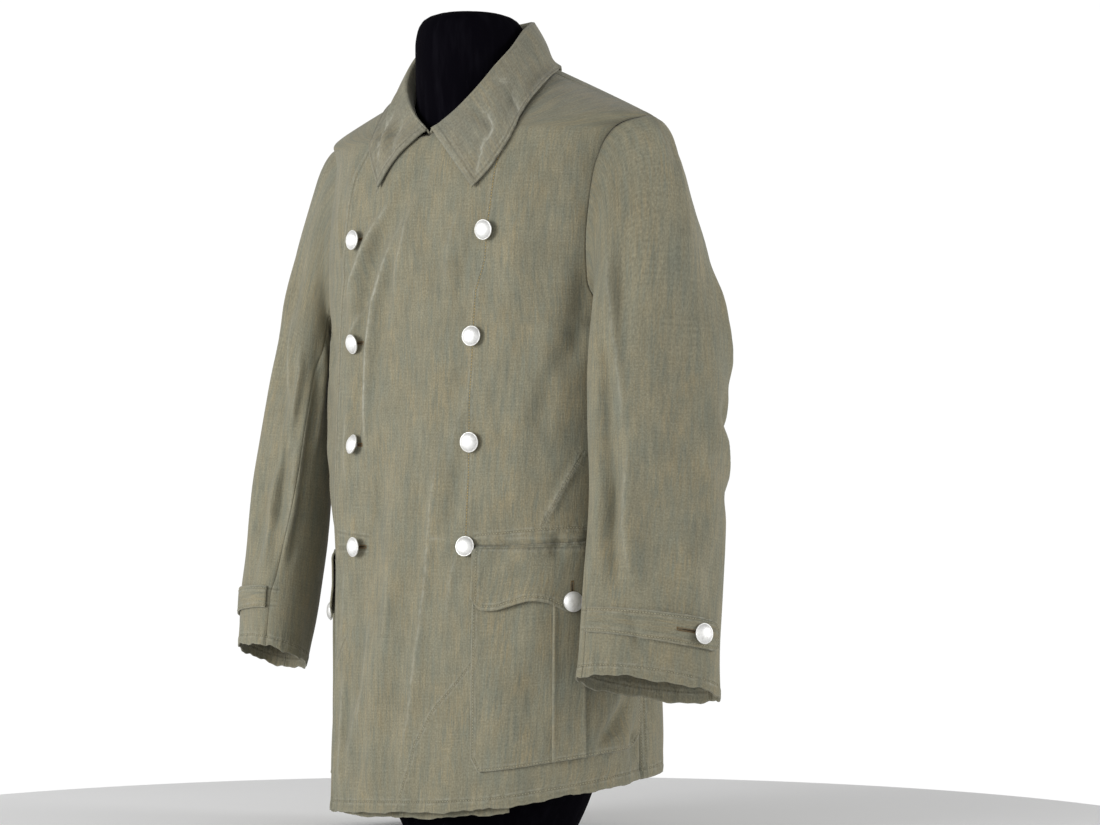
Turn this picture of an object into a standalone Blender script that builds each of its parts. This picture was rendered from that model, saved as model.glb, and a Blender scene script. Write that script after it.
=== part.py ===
"""Double-breasted police uniform jacket of drill cloth, buttoned up on a smooth limbless dress form.

Metres, +Z up, the wearer's front faces -Y and the wearer's left is +X. Every cloth piece is an open
surface worked out from the tables below and given its wall by a Solidify modifier.
"""

import math

import bmesh
import bpy
import numpy as np
from mathutils import Vector
from mathutils.bvhtree import BVHTree

for old in list(bpy.data.objects):
    bpy.data.objects.remove(old, do_unlink=True)

# Sizes that drive the shape
WALL = 0.0015  # body and sleeve cloth
FLAP_WALL = 0.0022  # flaps and straps are two layers
COLLAR_WALL = 0.0022
GAP = 0.0003  # between layers that lie on each other
ROUNDNESS = 0.85  # exponent of the body's ring, 1 is an ellipse
HEM_BLEND = 0.40  # the slope of the hem has faded out at this height
OVERLAP_LIFT = WALL + 2 * GAP  # the left front lies this far over the right
SEAM_DEG = 0.13  # half of the gap at the side seam
SHOULDER_SEAM_HALF = 0.0007
THROAT_ROW = 0.76
SHOULDER_ROW = 0.87
ARMPIT_ROW = 0.53
SIDE_DEG = 94.0  # side seam, counted from the front
CAP_STEPS = 6
BACK_HALF_STEPS = 9
BUTTON_RADIUS = 0.0105
BUTTON_SEGMENTS = 14
SEAT_REACH = 0.02  # a button's seat is looked for this far out

# Body rings. edge_deg is where a panel ends: its side seam or its armhole.
TORSO_COLUMNS = ("row", "front_z", "side_z", "back_z", "half_width", "front_depth", "back_depth",
                 "front_neck_x", "back_neck_x", "front_edge_deg", "back_edge_deg")
TORSO_ROWS = (
    (0.000, 0.000, 0.000, 0.000, 0.1950, 0.1380, 0.1300, 0.000, 0.000, 94.0, 86.0),
    (0.150, 0.150, 0.150, 0.150, 0.1930, 0.1340, 0.1270, 0.000, 0.000, 94.0, 86.0),
    (0.300, 0.300, 0.300, 0.300, 0.1910, 0.1270, 0.1220, 0.000, 0.000, 94.0, 86.0),
    (0.420, 0.420, 0.420, 0.420, 0.1900, 0.1210, 0.1190, 0.000, 0.000, 94.0, 86.0),
    (0.530, 0.530, 0.530, 0.530, 0.1930, 0.1180, 0.1210, 0.000, 0.000, 94.0, 86.0),
    (0.545, 0.545, 0.545, 0.545, 0.1930, 0.1180, 0.1220, 0.000, 0.000, 76.0, 73.0),
    (0.580, 0.580, 0.580, 0.580, 0.1938, 0.1180, 0.1230, 0.000, 0.000, 63.5, 63.0),
    (0.620, 0.620, 0.620, 0.620, 0.1945, 0.1180, 0.1230, 0.000, 0.000, 62.0, 61.0),
    (0.660, 0.660, 0.660, 0.660, 0.1920, 0.1160, 0.1210, 0.000, 0.000, 64.0, 61.0),
    (0.700, 0.700, 0.700, 0.700, 0.1885, 0.1120, 0.1170, 0.000, 0.000, 68.0, 62.0),
    (0.730, 0.722, 0.722, 0.732, 0.1885, 0.1070, 0.1110, 0.000, 0.000, 72.0, 64.0),
    (0.760, 0.738, 0.738, 0.768, 0.1935, 0.1000, 0.0980, 0.000, 0.000, 75.4, 66.0),
    (0.780, 0.748, 0.7450, 0.792, 0.1995, 0.0900, 0.0850, 0.030, 0.000, 76.6, 68.0),
    (0.800, 0.768, 0.7485, 0.813, 0.2055, 0.0740, 0.0680, 0.050, 0.000, 76.9, 70.0),
    (0.820, 0.787, 0.7502, 0.828, 0.2108, 0.0560, 0.0530, 0.060, 0.006, 76.8, 73.0),
    (0.840, 0.803, 0.7512, 0.829, 0.2160, 0.0340, 0.0440, 0.066, 0.034, 76.2, 75.0),
    (0.860, 0.813, 0.7515, 0.8215, 0.2193, 0.0100, 0.0150, 0.0675, 0.063, 76.0, 76.0),
    (0.870, 0.815, 0.7513, 0.815, 0.2204, 0.0004, 0.0004, 0.0675, 0.0675, 76.0, 76.0),
)

# Height of the hem by the angle round the body, 0 at the front and + to the wearer's left
HEM_COLUMNS = ("deg", "z")
HEM_ROWS = (
    (-180.0, 0.075), (-135.0, 0.051), (-95.0, 0.030), (-60.0, 0.023), (-20.0, 0.028),
    (24.0, 0.039), (55.0, 0.053), (88.0, 0.065), (120.0, 0.072), (180.0, 0.075),
)
UNDERLAP_DROP = 0.010  # the right front's hidden corner hangs this far below the left front
UNDERLAP_FADE = 0.11  # and the drop has gone at this row

# Free edges of the fronts, as x past the centre on the other side
EDGE_COLUMNS = ("row", "left_front_x", "right_front_x")
EDGE_ROWS = (
    (0.00, 0.123, 0.118), (0.30, 0.124, 0.108), (0.53, 0.124, 0.104), (0.62, 0.119, 0.104),
    (0.66, 0.114, 0.100), (0.70, 0.106, 0.094), (0.73, 0.095, 0.086), (0.76, 0.086, 0.078),
)

# Largest soft folds of the body, height outwards at the middle of each, negative for a hollow
# Columns: top_deg, top_z, bottom_deg, bottom_z, width_deg, height
BODY_FOLDS = (
    (-1.0, 0.42, -14.0, 0.06, 6.0, 0.0040),
    (-9.0, 0.40, -24.0, 0.05, 6.0, -0.0030),
    (-17.0, 0.67, -31.0, 0.52, 5.0, 0.0035),
    (-14.0, 0.64, -24.0, 0.47, 5.0, -0.0025),
    (-34.0, 0.50, -34.0, 0.03, 8.0, 0.0020),
    (-60.0, 0.36, -58.0, 0.00, 19.0, -0.0145),
    (16.0, 0.62, 12.0, 0.34, 7.0, -0.0025),
    (48.0, 0.55, 30.0, 0.33, 6.0, 0.0030),
    (97.0, 0.20, 92.0, 0.05, 5.0, -0.0050),
    (110.0, 0.42, 112.0, 0.07, 9.0, 0.0050),
    (150.0, 0.60, 146.0, 0.07, 12.0, 0.0050),
    (176.0, 0.55, 178.0, 0.07, 12.0, -0.0035),
    (-152.0, 0.62, -150.0, 0.07, 12.0, 0.0055),
    (-116.0, 0.40, -118.0, 0.05, 9.0, -0.0045),
)
FOLD_FADE = 0.05  # a fold fades out over this height beyond its ends

# Armhole: share of the way round, 0 at the armpit, 0.5 at the shoulder, and the panel row there
ARMHOLE_COLUMNS = ("share", "row")
ARMHOLE_ROWS = (
    (0.000, 0.530), (0.070, 0.545), (0.142, 0.580), (0.206, 0.620), (0.270, 0.660),
    (0.335, 0.700), (0.400, 0.760), (0.430, 0.800), (0.464, 0.840), (0.500, 0.870),
)

ARM_SHARES = (0.0, 0.06, 0.12, 0.18, 0.24, 0.30, 0.35, 0.40, 0.425, 0.45, 0.475, 0.5)
ARMHOLE_CENTRE = (0.190, 0.0, 0.640)

# Sleeve sections from the armpit down. turn_deg turns the flat tube's front edge inwards.
SLEEVE_COLUMNS = ("along", "x", "y", "half_long", "half_short", "turn_deg", "mean_z", "front_rise", "inner_rise")
SLEEVE_ROWS = (
    (0.00, 0.2416, -0.0220, 0.0745, 0.0400, 38.0, 0.500, 0.000, 0.000),
    (0.16, 0.2462, -0.0300, 0.0735, 0.0400, 39.0, 0.446, 0.000, -0.002),
    (0.45, 0.2526, -0.0420, 0.0705, 0.0415, 41.0, 0.348, 0.004, -0.005),
    (0.75, 0.2550, -0.0550, 0.0715, 0.0420, 43.0, 0.247, 0.010, -0.009),
    (1.00, 0.2570, -0.0650, 0.0725, 0.0370, 45.0, 0.165, 0.011, -0.011),
)
RIGHT_CUFF_RISE = 0.022  # the right sleeve hangs this much shorter
LEAVE_DIRECTION = (1.0, 0.10, -0.42)  # of the sleeve at the armhole: out, back at the front, and down
TUBE_STEPS = (0.0, 0.10, 0.20, 0.32, 0.45, 0.57, 0.69, 0.775, 0.87, 1.0)
STRAP_ALONG = (0.775, 0.872)
STRAP_END_SHARE = 0.675
STRAP_TIP = 0.55  # the strap's end is rounded down to this share of its width
# Columns: share, top_v, bottom_v, width, height
SLEEVE_FOLDS = (
    (0.375, 0.60, 1.75, 0.028, -0.0040),
    (0.425, 0.60, 1.65, 0.032, 0.0030),
    (0.62, 1.05, 1.60, 0.045, 0.0025),
    (0.88, 0.95, 1.50, 0.040, -0.0030),
    (0.07, 1.10, 1.70, 0.045, 0.0030),
)
FRONT_SEAM_SHARE = 0.30
REAR_SEAM_SHARE = 0.82
SLEEVE_SEAM_HALF = 0.0026  # half of the share of the ring left open at each seam

# Collar: share from the back centre (0) to the throat (1)
COLLAR_COLUMNS = ("share", "seam_x", "seam_y", "seam_z", "roll_x", "roll_y", "roll_z", "edge_x", "edge_y", "edge_z")
COLLAR_ROWS = (
    (0.00, 0.0000, 0.0510, 0.8310, 0.0000, 0.0350, 0.8710, 0.0000, 0.0680, 0.8180),
    (0.20, 0.0300, 0.0440, 0.8310, 0.0330, 0.0270, 0.8705, 0.0430, 0.0560, 0.8170),
    (0.38, 0.0540, 0.0200, 0.8250, 0.0550, 0.0050, 0.8650, 0.0700, 0.0270, 0.8120),
    (0.50, 0.0640, -0.0040, 0.8170, 0.0650, -0.0170, 0.8560, 0.0920, -0.0040, 0.8030),
    (0.62, 0.0625, -0.0310, 0.8060, 0.0670, -0.0420, 0.8350, 0.1050, -0.0480, 0.7720),
    (0.75, 0.0555, -0.0570, 0.7860, 0.0585, -0.0700, 0.8050, 0.1070, -0.0800, 0.7410),
    (0.88, 0.0390, -0.0780, 0.7620, 0.0330, -0.0900, 0.7690, 0.0920, -0.1060, 0.7030),
    (1.00, 0.0060, -0.0900, 0.7370, 0.0035, -0.1010, 0.7450, 0.0700, -0.1160, 0.6790),
)
COLLAR_STEPS = 14
ROLL_RADIUS = 0.0028
COLLAR_CLEARANCE = COLLAR_WALL / 2 + 0.0034
LEAF_ROWS = (0.60, SHOULDER_ROW, 90)  # the leaves are kept clear of the body's points here
LEAF_DEGS = (0.0, 57.5, 70)
LAP_SHARE = 0.5  # the left front reaches this share of those angles past the centre
RIGHT_LEAF_X = 0.90  # the right leaf reaches out less than the left one

# Columns of a front, in degrees where the panel is plain. The first ones lie under or over the other front.
LEFT_OWN_DEGS = (0.0, 10.5, 21.0, 24.5, 31.0)
RIGHT_OWN_DEGS = (0.0, 12.0, 24.5, 36.5)
LEFT_FAR_DEGS = (37.5, 44.5, 51.6, 58.0, 64.4, 71.5, 78.5, 85.0, 90.0, 93.0)
RIGHT_FAR_DEGS = (38.0, 44.5, 51.6, 58.0, 64.4, 71.5, 78.5, 85.0, 90.0, 93.0)

# Pocket, in degrees round the body and panel rows
LEFT_POCKET_DEGS = LEFT_OWN_DEGS[2:] + LEFT_FAR_DEGS
RIGHT_POCKET_DEGS = RIGHT_FAR_DEGS  # its front part lies under the left front
PLEAT_DEG = (51.6, 64.4)
PLEAT_SIDE_DEG = 0.35
PLEAT_HEIGHT = 0.0017
POCKET_GAP = 1.7 * GAP  # on a curved panel, whose facets differ a little from the pocket's
FLAP_GAP = 3.2 * GAP
BODY_LOW_ROWS = (0.0, 0.047, 0.064, 0.115, 0.175, 0.235, 0.288, 0.34, 0.40, 0.465, 0.51, 0.53)
POCKET_ROWS = BODY_LOW_ROWS[1:7]
FLAP_TOP_ROW = 0.300
FLAP_DEPTH_COLUMNS = ("deg", "depth")
FLAP_DEPTHS = (
    (20.0, 0.056), (24.5, 0.073), (32.0, 0.072), (42.0, 0.066), (50.0, 0.070), (58.0, 0.082),
    (66.0, 0.070), (74.0, 0.066), (84.0, 0.072), (90.5, 0.073), (93.5, 0.056),
)
FLAP_SHARES = (0.0, 0.07, 0.14, 0.45, 0.72, 1.0)  # down the flap, clear of the pocket from the third on
FLAP_OVERHANG_DEG = 0.3  # past the pocket's rear edge
FLAP_LIFT = WALL + 2 * GAP + PLEAT_HEIGHT

# Front buttons: height of each, and x of the left and of the right row
# Columns: z, left_x, right_x
FRONT_BUTTONS = (
    (0.634, 0.0850, -0.0920),
    (0.525, 0.0700, -0.0950),
    (0.416, 0.0700, -0.0900),
    (0.308, 0.0695, -0.0840),
)
FLAP_BUTTON = (58.0, 0.229)
CUFF_BUTTON = (0.603, 0.832)  # share round the sleeve, share along it

# Dress form: body rings, then the neck
# Columns: z, half_width, front, back
FORM_BODY = (
    (0.0000, 0.0900, 0.0780, 0.0780), (0.0060, 0.0950, 0.0830, 0.0830), (0.1000, 0.1350, 0.1000, 0.0960),
    (0.2500, 0.1620, 0.1060, 0.1040), (0.4000, 0.1550, 0.0980, 0.0980), (0.5400, 0.1700, 0.1020, 0.1060),
    (0.6400, 0.1730, 0.1000, 0.1060), (0.7000, 0.1750, 0.0920, 0.0990), (0.7300, 0.1850, 0.0700, 0.0800),
    (0.7400, 0.1940, 0.0580, 0.0660), (0.7480, 0.2040, 0.0380, 0.0420), (0.7560, 0.1985, 0.0380, 0.0380),
    (0.7700, 0.1678, 0.0340, 0.0380), (0.7850, 0.1325, 0.0270, 0.0300), (0.8000, 0.0973, 0.0190, 0.0220),
    (0.8090, 0.0762, 0.0120, 0.0140),
)
FORM_NECK_CENTRE_Y = -0.033
FORM_NECK = (
    (0.6900, 0.0500, 0.0450, 0.0600), (0.7600, 0.0560, 0.0560, 0.0600), (0.8100, 0.0575, 0.0600, 0.0600),
    (0.8400, 0.0575, 0.0600, 0.0600), (0.8570, 0.0535, 0.0560, 0.0565), (0.8670, 0.0445, 0.0480, 0.0480),
    (0.8725, 0.0310, 0.0340, 0.0340), (0.8745, 0.0150, 0.0170, 0.0170),
)
FORM_SEGMENTS = 28


def monotone(rows, column, at):
    """Smooth reading of one column of a table by its first column, with no overshoot between rows."""
    x = np.array([row[0] for row in rows])
    y = np.array([row[column] for row in rows])
    width = np.diff(x)
    rise = np.diff(y) / width
    slope = np.zeros_like(y)
    same = rise[:-1] * rise[1:] > 0
    left = 2 * width[1:] + width[:-1]
    right = width[1:] + 2 * width[:-1]
    with np.errstate(divide="ignore", invalid="ignore"):
        mean = (left + right) / (left / rise[:-1] + right / rise[1:])
    slope[1:-1] = np.where(same, mean, 0.0)
    slope[0] = rise[0]
    slope[-1] = rise[-1]
    at = np.clip(at, x[0], x[-1])
    k = np.clip(np.searchsorted(x, at, side="right") - 1, 0, len(x) - 2)
    t = (at - x[k]) / width[k]
    keep = (1 + 2 * t) * (1 - t) ** 2 * y[k] + t * t * (3 - 2 * t) * y[k + 1]
    return keep + width[k] * (t * (1 - t) ** 2 * slope[k] - t * t * (1 - t) * slope[k + 1])


def column(rows, names, name, at):
    return monotone(rows, names.index(name), np.asarray(at, float))


def torso_value(name, row):
    return column(TORSO_ROWS, TORSO_COLUMNS, name, row)


def power(value):
    """Signed power that turns an ellipse's sine or cosine into the fuller ring's."""
    return np.sign(value) * np.abs(value) ** ROUNDNESS


def smooth(low, high, value):
    t = np.clip((value - low) / (high - low), 0.0, 1.0)
    return t * t * (3 - 2 * t)


def ring_point(deg, row, side, back):
    """Point of the bare body surface. deg counts from the front centre, or from the back centre."""
    deg, row = np.broadcast_arrays(np.asarray(deg, float), np.asarray(row, float))
    angle = np.radians(deg)
    face = "back" if back else "front"
    across = power(np.sin(angle))
    along = power(np.cos(angle))
    neck = torso_value(face + "_neck_x", row)
    x = neck * (1 - across) + torso_value("half_width", row) * across
    own = torso_value(face + "_depth", row)
    other = torso_value("front_depth" if back else "back_depth", row)
    y = np.where(along > 0, np.maximum(own * along, SHOULDER_SEAM_HALF), other * along) * (1 if back else -1)
    edge = power(np.sin(np.radians(torso_value(face + "_edge_deg", row))))
    start_z = torso_value(face + "_z", row)
    z = start_z + (torso_value("side_z", row) - start_z) * np.clip(across / edge, 0, 1)
    round_deg = side * (180 - deg if back else deg)
    round_deg = (round_deg + 180) % 360 - 180
    hem = column(HEM_ROWS, HEM_COLUMNS, "z", round_deg)
    z = z + hem * np.clip(1 - row / HEM_BLEND, 0, 1)
    return np.stack([side * x, y, z], -1), round_deg


def fold_height(round_deg, z):
    total = np.zeros_like(z)
    for top_deg, top_z, bottom_deg, bottom_z, width_deg, height in BODY_FOLDS:
        share = (z - bottom_z) / (top_z - bottom_z)
        middle = bottom_deg + (top_deg - bottom_deg) * np.clip(share, -0.2, 1.2)
        away = ((round_deg - middle + 180) % 360 - 180) / width_deg
        ends = smooth(bottom_z - FOLD_FADE, bottom_z + FOLD_FADE, z)
        ends = ends * (1 - smooth(top_z - FOLD_FADE, top_z + FOLD_FADE, z))
        total = total + height * ends * np.exp(-away * away)
    return total


def body(deg, row, side=1, back=False, lift=0.0):
    """Body surface with its folds, moved out by lift along the normal. Returns points and normals."""
    step = 0.05
    high = np.minimum(row + 0.0005, SHOULDER_ROW)
    low = np.maximum(high - 0.001, 0.0)
    across = ring_point(deg + step, row, side, back)[0] - ring_point(deg - step, row, side, back)[0]
    up = ring_point(deg, high, side, back)[0] - ring_point(deg, low, side, back)[0]
    normal = np.cross(across, up) * (side * (-1 if back else 1))
    normal /= np.linalg.norm(normal, axis=-1, keepdims=True)
    point, round_deg = ring_point(deg, row, side, back)
    out = np.asarray(lift + fold_height(round_deg, point[..., 2]))
    return point + normal * out[..., None], normal


def front_lift(deg, side):
    """The left front lies over the right one and comes down to the seam level at its side."""
    if side < 0:
        return np.zeros_like(np.asarray(deg, float))
    return OVERLAP_LIFT * (1 - smooth(60.0, 90.0, np.asarray(deg, float)))


def front(deg, row, side, lift=0.0):
    return body(deg, row, side, False, lift + front_lift(deg, side))


def deg_of_x(x, row):
    """Angle at which the body surface has this x, for rows below the throat."""
    share = abs(x) / torso_value("half_width", row)
    return np.sign(x) * np.degrees(np.arcsin(share ** (1 / ROUNDNESS)))


def armhole(share, side):
    """Edge point of the panels' armhole and the outward normal there, by the share round it."""
    is_back = share > 0.5
    row = column(ARMHOLE_ROWS, ARMHOLE_COLUMNS, "row", np.where(is_back, 1 - share, share))
    front_edge = torso_value("front_edge_deg", row)
    back_edge = torso_value("back_edge_deg", row)
    front_point, front_normal = front(front_edge, row, side)
    back_point, back_normal = body(back_edge, row, side, True)
    pick = is_back[..., None]
    return np.where(pick, back_point, front_point), np.where(pick, back_normal, front_normal)


def tube(share, along, side):
    """Point of the sleeve below the armpit."""
    turn = np.radians(column(SLEEVE_ROWS, SLEEVE_COLUMNS, "turn_deg", along))
    angle = 2 * math.pi * share
    forward = column(SLEEVE_ROWS, SLEEVE_COLUMNS, "half_long", along) * np.sin(angle)
    outward = -column(SLEEVE_ROWS, SLEEVE_COLUMNS, "half_short", along) * np.cos(angle)
    x = column(SLEEVE_ROWS, SLEEVE_COLUMNS, "x", along) - np.sin(turn) * forward + np.cos(turn) * outward
    y = column(SLEEVE_ROWS, SLEEVE_COLUMNS, "y", along) - np.cos(turn) * forward - np.sin(turn) * outward
    z = column(SLEEVE_ROWS, SLEEVE_COLUMNS, "mean_z", along)
    z = z + column(SLEEVE_ROWS, SLEEVE_COLUMNS, "front_rise", along) * np.sin(angle)
    z = z + column(SLEEVE_ROWS, SLEEVE_COLUMNS, "inner_rise", along) * np.cos(angle)
    if side < 0:
        z = z + RIGHT_CUFF_RISE * along
    return np.stack([side * x, y, z], -1)


def sleeve_base(share, v, side):
    """Sleeve point: v runs 0 to 1 from the armhole over the head, then 1 to 2 down to the cuff."""
    share, v = np.broadcast_arrays(np.asarray(share, float) % 1.0, np.asarray(v, float))
    start, normal = armhole(share, side)
    into_hole = np.array(ARMHOLE_CENTRE) * (side, 1, 1) - start
    into_hole = into_hole - normal * (into_hole * normal).sum(-1, keepdims=True)
    into_hole /= np.linalg.norm(into_hole, axis=-1, keepdims=True)
    start = start + into_hole * (WALL + GAP)
    end = tube(share, np.zeros_like(share), side)
    down = tube(share, np.full_like(share, 0.02), side) - end
    down /= np.linalg.norm(down, axis=-1, keepdims=True)
    reach = np.linalg.norm(end - start, axis=-1)
    out, sideways, fall = LEAVE_DIRECTION
    low = 0.5 + 0.5 * np.cos(2 * math.pi * share)
    leave = np.stack([side * out + 0 * low, sideways * np.sin(2 * math.pi * share), fall - 0.5 * low], -1)
    leave = leave * (0.02 + (0.48 - 0.20 * np.sin(2 * math.pi * share)) * reach)[..., None]
    arrive = down * (0.02 + 0.85 * reach)[..., None]
    t = np.clip(v, 0, 1)[..., None]
    cap = ((1 + 2 * t) * (1 - t) ** 2 * start + t * (1 - t) ** 2 * leave
           + t * t * (3 - 2 * t) * end - t * t * (1 - t) * arrive)
    return np.where((v > 1)[..., None], tube(share, np.clip(v - 1, 0, 1), side), cap)


def sleeve(share, v, side, lift=0.0):
    """Sleeve surface with its folds, moved out by lift."""
    share, v = np.broadcast_arrays(np.asarray(share, float), np.asarray(v, float))
    step = 0.002
    round_step = sleeve_base(share + step, v, side) - sleeve_base(share - step, v, side)
    high = np.minimum(v + 0.004, 2.0)
    low = np.maximum(high - 0.008, 0.0)
    along_step = sleeve_base(share, high, side) - sleeve_base(share, low, side)
    normal = np.cross(along_step, round_step) * side
    normal /= np.linalg.norm(normal, axis=-1, keepdims=True)
    out = np.asarray(lift) + np.zeros_like(v)
    for middle, top_v, bottom_v, width, height in SLEEVE_FOLDS:
        away = ((share - middle + 0.5) % 1.0 - 0.5) / width
        ends = smooth(top_v - 0.15, top_v + 0.15, v) * (1 - smooth(bottom_v - 0.12, bottom_v + 0.12, v))
        out = out + height * ends * np.exp(-away * away)
    return sleeve_base(share, v, side) + normal * out[..., None], normal


def material(name, colour, roughness, metallic=0.0):
    made = bpy.data.materials.new(name)
    made.use_nodes = True
    shader = made.node_tree.nodes["Principled BSDF"]
    shader.inputs["Base Color"].default_value = (*colour, 1.0)
    shader.inputs["Roughness"].default_value = roughness
    shader.inputs["Metallic"].default_value = metallic
    return made


def place(name, mesh, finish):
    mesh.materials.append(finish)
    obj = bpy.data.objects.new(name, mesh)
    jacket.objects.link(obj)
    for face in mesh.polygons:
        face.use_smooth = True
    return obj


def sheet(name, points, wall, outside, keep=None, cuts=()):
    """Open surface over a grid of points (rows, columns, 3), walled by Solidify.

    outside is 1 where the wall grows outwards from the points, -1 inwards and 0 both ways. keep
    marks the cells that are cloth. cuts names cells that lose one triangle, and which corner.
    """
    rows, columns = points.shape[:2]
    faces = []
    for i in range(rows - 1):
        for j in range(columns - 1):
            if keep is not None and not keep[i, j]:
                continue
            a, b = i * columns + j, i * columns + j + 1
            c, d = b + columns, a + columns
            corner = dict(cuts).get((i, j))
            if corner == "start":
                faces.append((b, c, d))
            elif corner == "end":
                faces.append((a, c, d))
            else:
                faces += [(a, b, c), (a, c, d)]
    number = {}
    corners = []
    spots = [tuple(spot) for spot in points.reshape(-1, 3).round(7).tolist()]
    for k in sorted({k for face in faces for k in face}):
        if spots[k] not in number:
            number[spots[k]] = len(corners)
            corners.append(spots[k])
    mesh = bpy.data.meshes.new(name)
    mesh.from_pydata(corners, [], [tuple(number[spots[k]] for k in face) for face in faces])
    obj = place(name, mesh, cloth)
    wallmaker = obj.modifiers.new("wall", "SOLIDIFY")
    wallmaker.thickness = wall
    wallmaker.offset = outside
    wallmaker.use_even_offset = True
    wallmaker.thickness_clamp = 0.0
    return obj


def facing_out(grid, side):
    """Rows run upwards; the columns are turned round where that makes the faces point outwards."""
    return grid if side > 0 else grid[:, ::-1]


jacket = bpy.data.collections.new("police_uniform_jacket")
bpy.context.scene.collection.children.link(jacket)
helpers = bpy.data.collections.new("cutters")
helpers.hide_render = True
bpy.context.scene.collection.children.link(helpers)
cloth = material("drill_cloth", (0.24, 0.24, 0.17), 0.9)
metal = material("pale_button_metal", (0.78, 0.79, 0.78), 0.45, 0.9)
black = material("black_form_cloth", (0.012, 0.012, 0.016), 0.85)

# Rows of every body panel: the ones below the armpit, then one for each step along the armhole
arm_rows = column(ARMHOLE_ROWS, ARMHOLE_COLUMNS, "row", ARM_SHARES)
body_rows = np.concatenate([BODY_LOW_ROWS, arm_rows[1:]])
throat_index = int(np.argmin(abs(body_rows - THROAT_ROW)))
ring_shares = np.concatenate([ARM_SHARES, 1 - np.array(ARM_SHARES[1:-1])[::-1]])

def row_at_height(z, deg, side):
    """Panel row, below the throat, that passes through this height."""
    hem = column(HEM_ROWS, HEM_COLUMNS, "z", side * deg)
    return float((z - hem) / (1 - hem / HEM_BLEND)) if z < HEM_BLEND else z


def free_edge(row, side):
    """Angle past the centre at which this front ends."""
    name = "left_front_x" if side > 0 else "right_front_x"
    return float(deg_of_x(column(EDGE_ROWS, EDGE_COLUMNS, name, row), min(row, THROAT_ROW)))


def front_row_degs(row, side):
    """Angles of a front's points along one row. Both fronts share them where one lies on the other."""
    own, far = (LEFT_OWN_DEGS, LEFT_FAR_DEGS) if side > 0 else (RIGHT_OWN_DEGS, RIGHT_FAR_DEGS)
    other = RIGHT_OWN_DEGS if side > 0 else LEFT_OWN_DEGS
    lap = -np.array(other[:0:-1]) * free_edge(row, side) / other[-1]
    near = np.array(own) * free_edge(row, -side) / own[-1]
    end = float(torso_value("front_edge_deg", row))
    if row <= ARMPIT_ROW:
        end -= SEAM_DEG
    shares = (np.array(far) - own[-1]) / (far[-1] - own[-1])
    return np.concatenate([lap, near, near[-1] + shares * (end - near[-1])])


def build_front(name, side):
    degs = np.array([front_row_degs(row, side) for row in body_rows])
    rows = np.repeat(body_rows[:, None], degs.shape[1], axis=1)
    points = front(degs, rows, side)[0]
    if side < 0:
        corner = 1 - smooth(-20.0, 5.0, degs)
        points[..., 2] -= UNDERLAP_DROP * corner * np.clip(1 - rows / UNDERLAP_FADE, 0, 1)
    keep = np.ones((points.shape[0] - 1, points.shape[1] - 1), bool)
    lap_steps = len(RIGHT_OWN_DEGS if side > 0 else LEFT_OWN_DEGS) - 1
    keep[throat_index:, :lap_steps] = False
    if side < 0:
        keep = keep[:, ::-1]
    return sheet(name, facing_out(points, side), WALL, -1, keep)


def build_back():
    """Back panel, as two halves that share their centre points below the neck."""
    shares = np.linspace(0, 1, BACK_HALF_STEPS + 1)
    ends = torso_value("back_edge_deg", body_rows) - np.where(body_rows <= ARMPIT_ROW, SEAM_DEG, 0.0)
    degs = ends[:, None] * shares
    rows = np.repeat(body_rows[:, None], len(shares), axis=1)
    left = body(degs, rows, 1, True)[0]
    right = body(degs, rows, -1, True)[0]
    points = np.concatenate([left[:, ::-1], right], axis=1)
    keep = np.ones((points.shape[0] - 1, points.shape[1] - 1), bool)
    keep[:, BACK_HALF_STEPS] = False
    sheet("back", points, WALL, -1, keep)


def build_sleeve(name, side, start, end):
    """One of the sleeve's two pieces, from the seam at share start to the one at share end."""
    twice = np.concatenate([ring_shares, ring_shares + 1])
    inner = twice[(twice > start + SLEEVE_SEAM_HALF * 2) & (twice < end - SLEEVE_SEAM_HALF * 2)]
    shares = np.concatenate([[start + SLEEVE_SEAM_HALF], inner, [end - SLEEVE_SEAM_HALF]])
    steps = np.concatenate([np.linspace(0, 1, CAP_STEPS + 1), 1 + np.array(TUBE_STEPS[1:])])
    points = sleeve(shares[None, :] % 1.0, steps[::-1, None], side)[0]
    sheet(name, facing_out(points, side), WALL, -1)


def build_strap(name, side):
    between = ring_shares[(ring_shares > FRONT_SEAM_SHARE + 0.01) & (ring_shares < STRAP_END_SHARE - 0.02)]
    shares = np.concatenate([[FRONT_SEAM_SHARE + 0.008], between, [STRAP_END_SHARE - 0.012, STRAP_END_SHARE]])
    high, low = 1 + STRAP_ALONG[0], 1 + STRAP_ALONG[1]
    middle = (high + low) / 2
    half = (low - high) / 2 * np.where(shares < STRAP_END_SHARE, 1.0, STRAP_TIP)
    steps = middle + half[None, :] * np.array([1.0, 0.0, -1.0])[:, None]
    points = sleeve(np.broadcast_to(shares, steps.shape), steps, side, GAP)[0]
    return sheet(name, facing_out(points, side), FLAP_WALL, 1)


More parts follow.
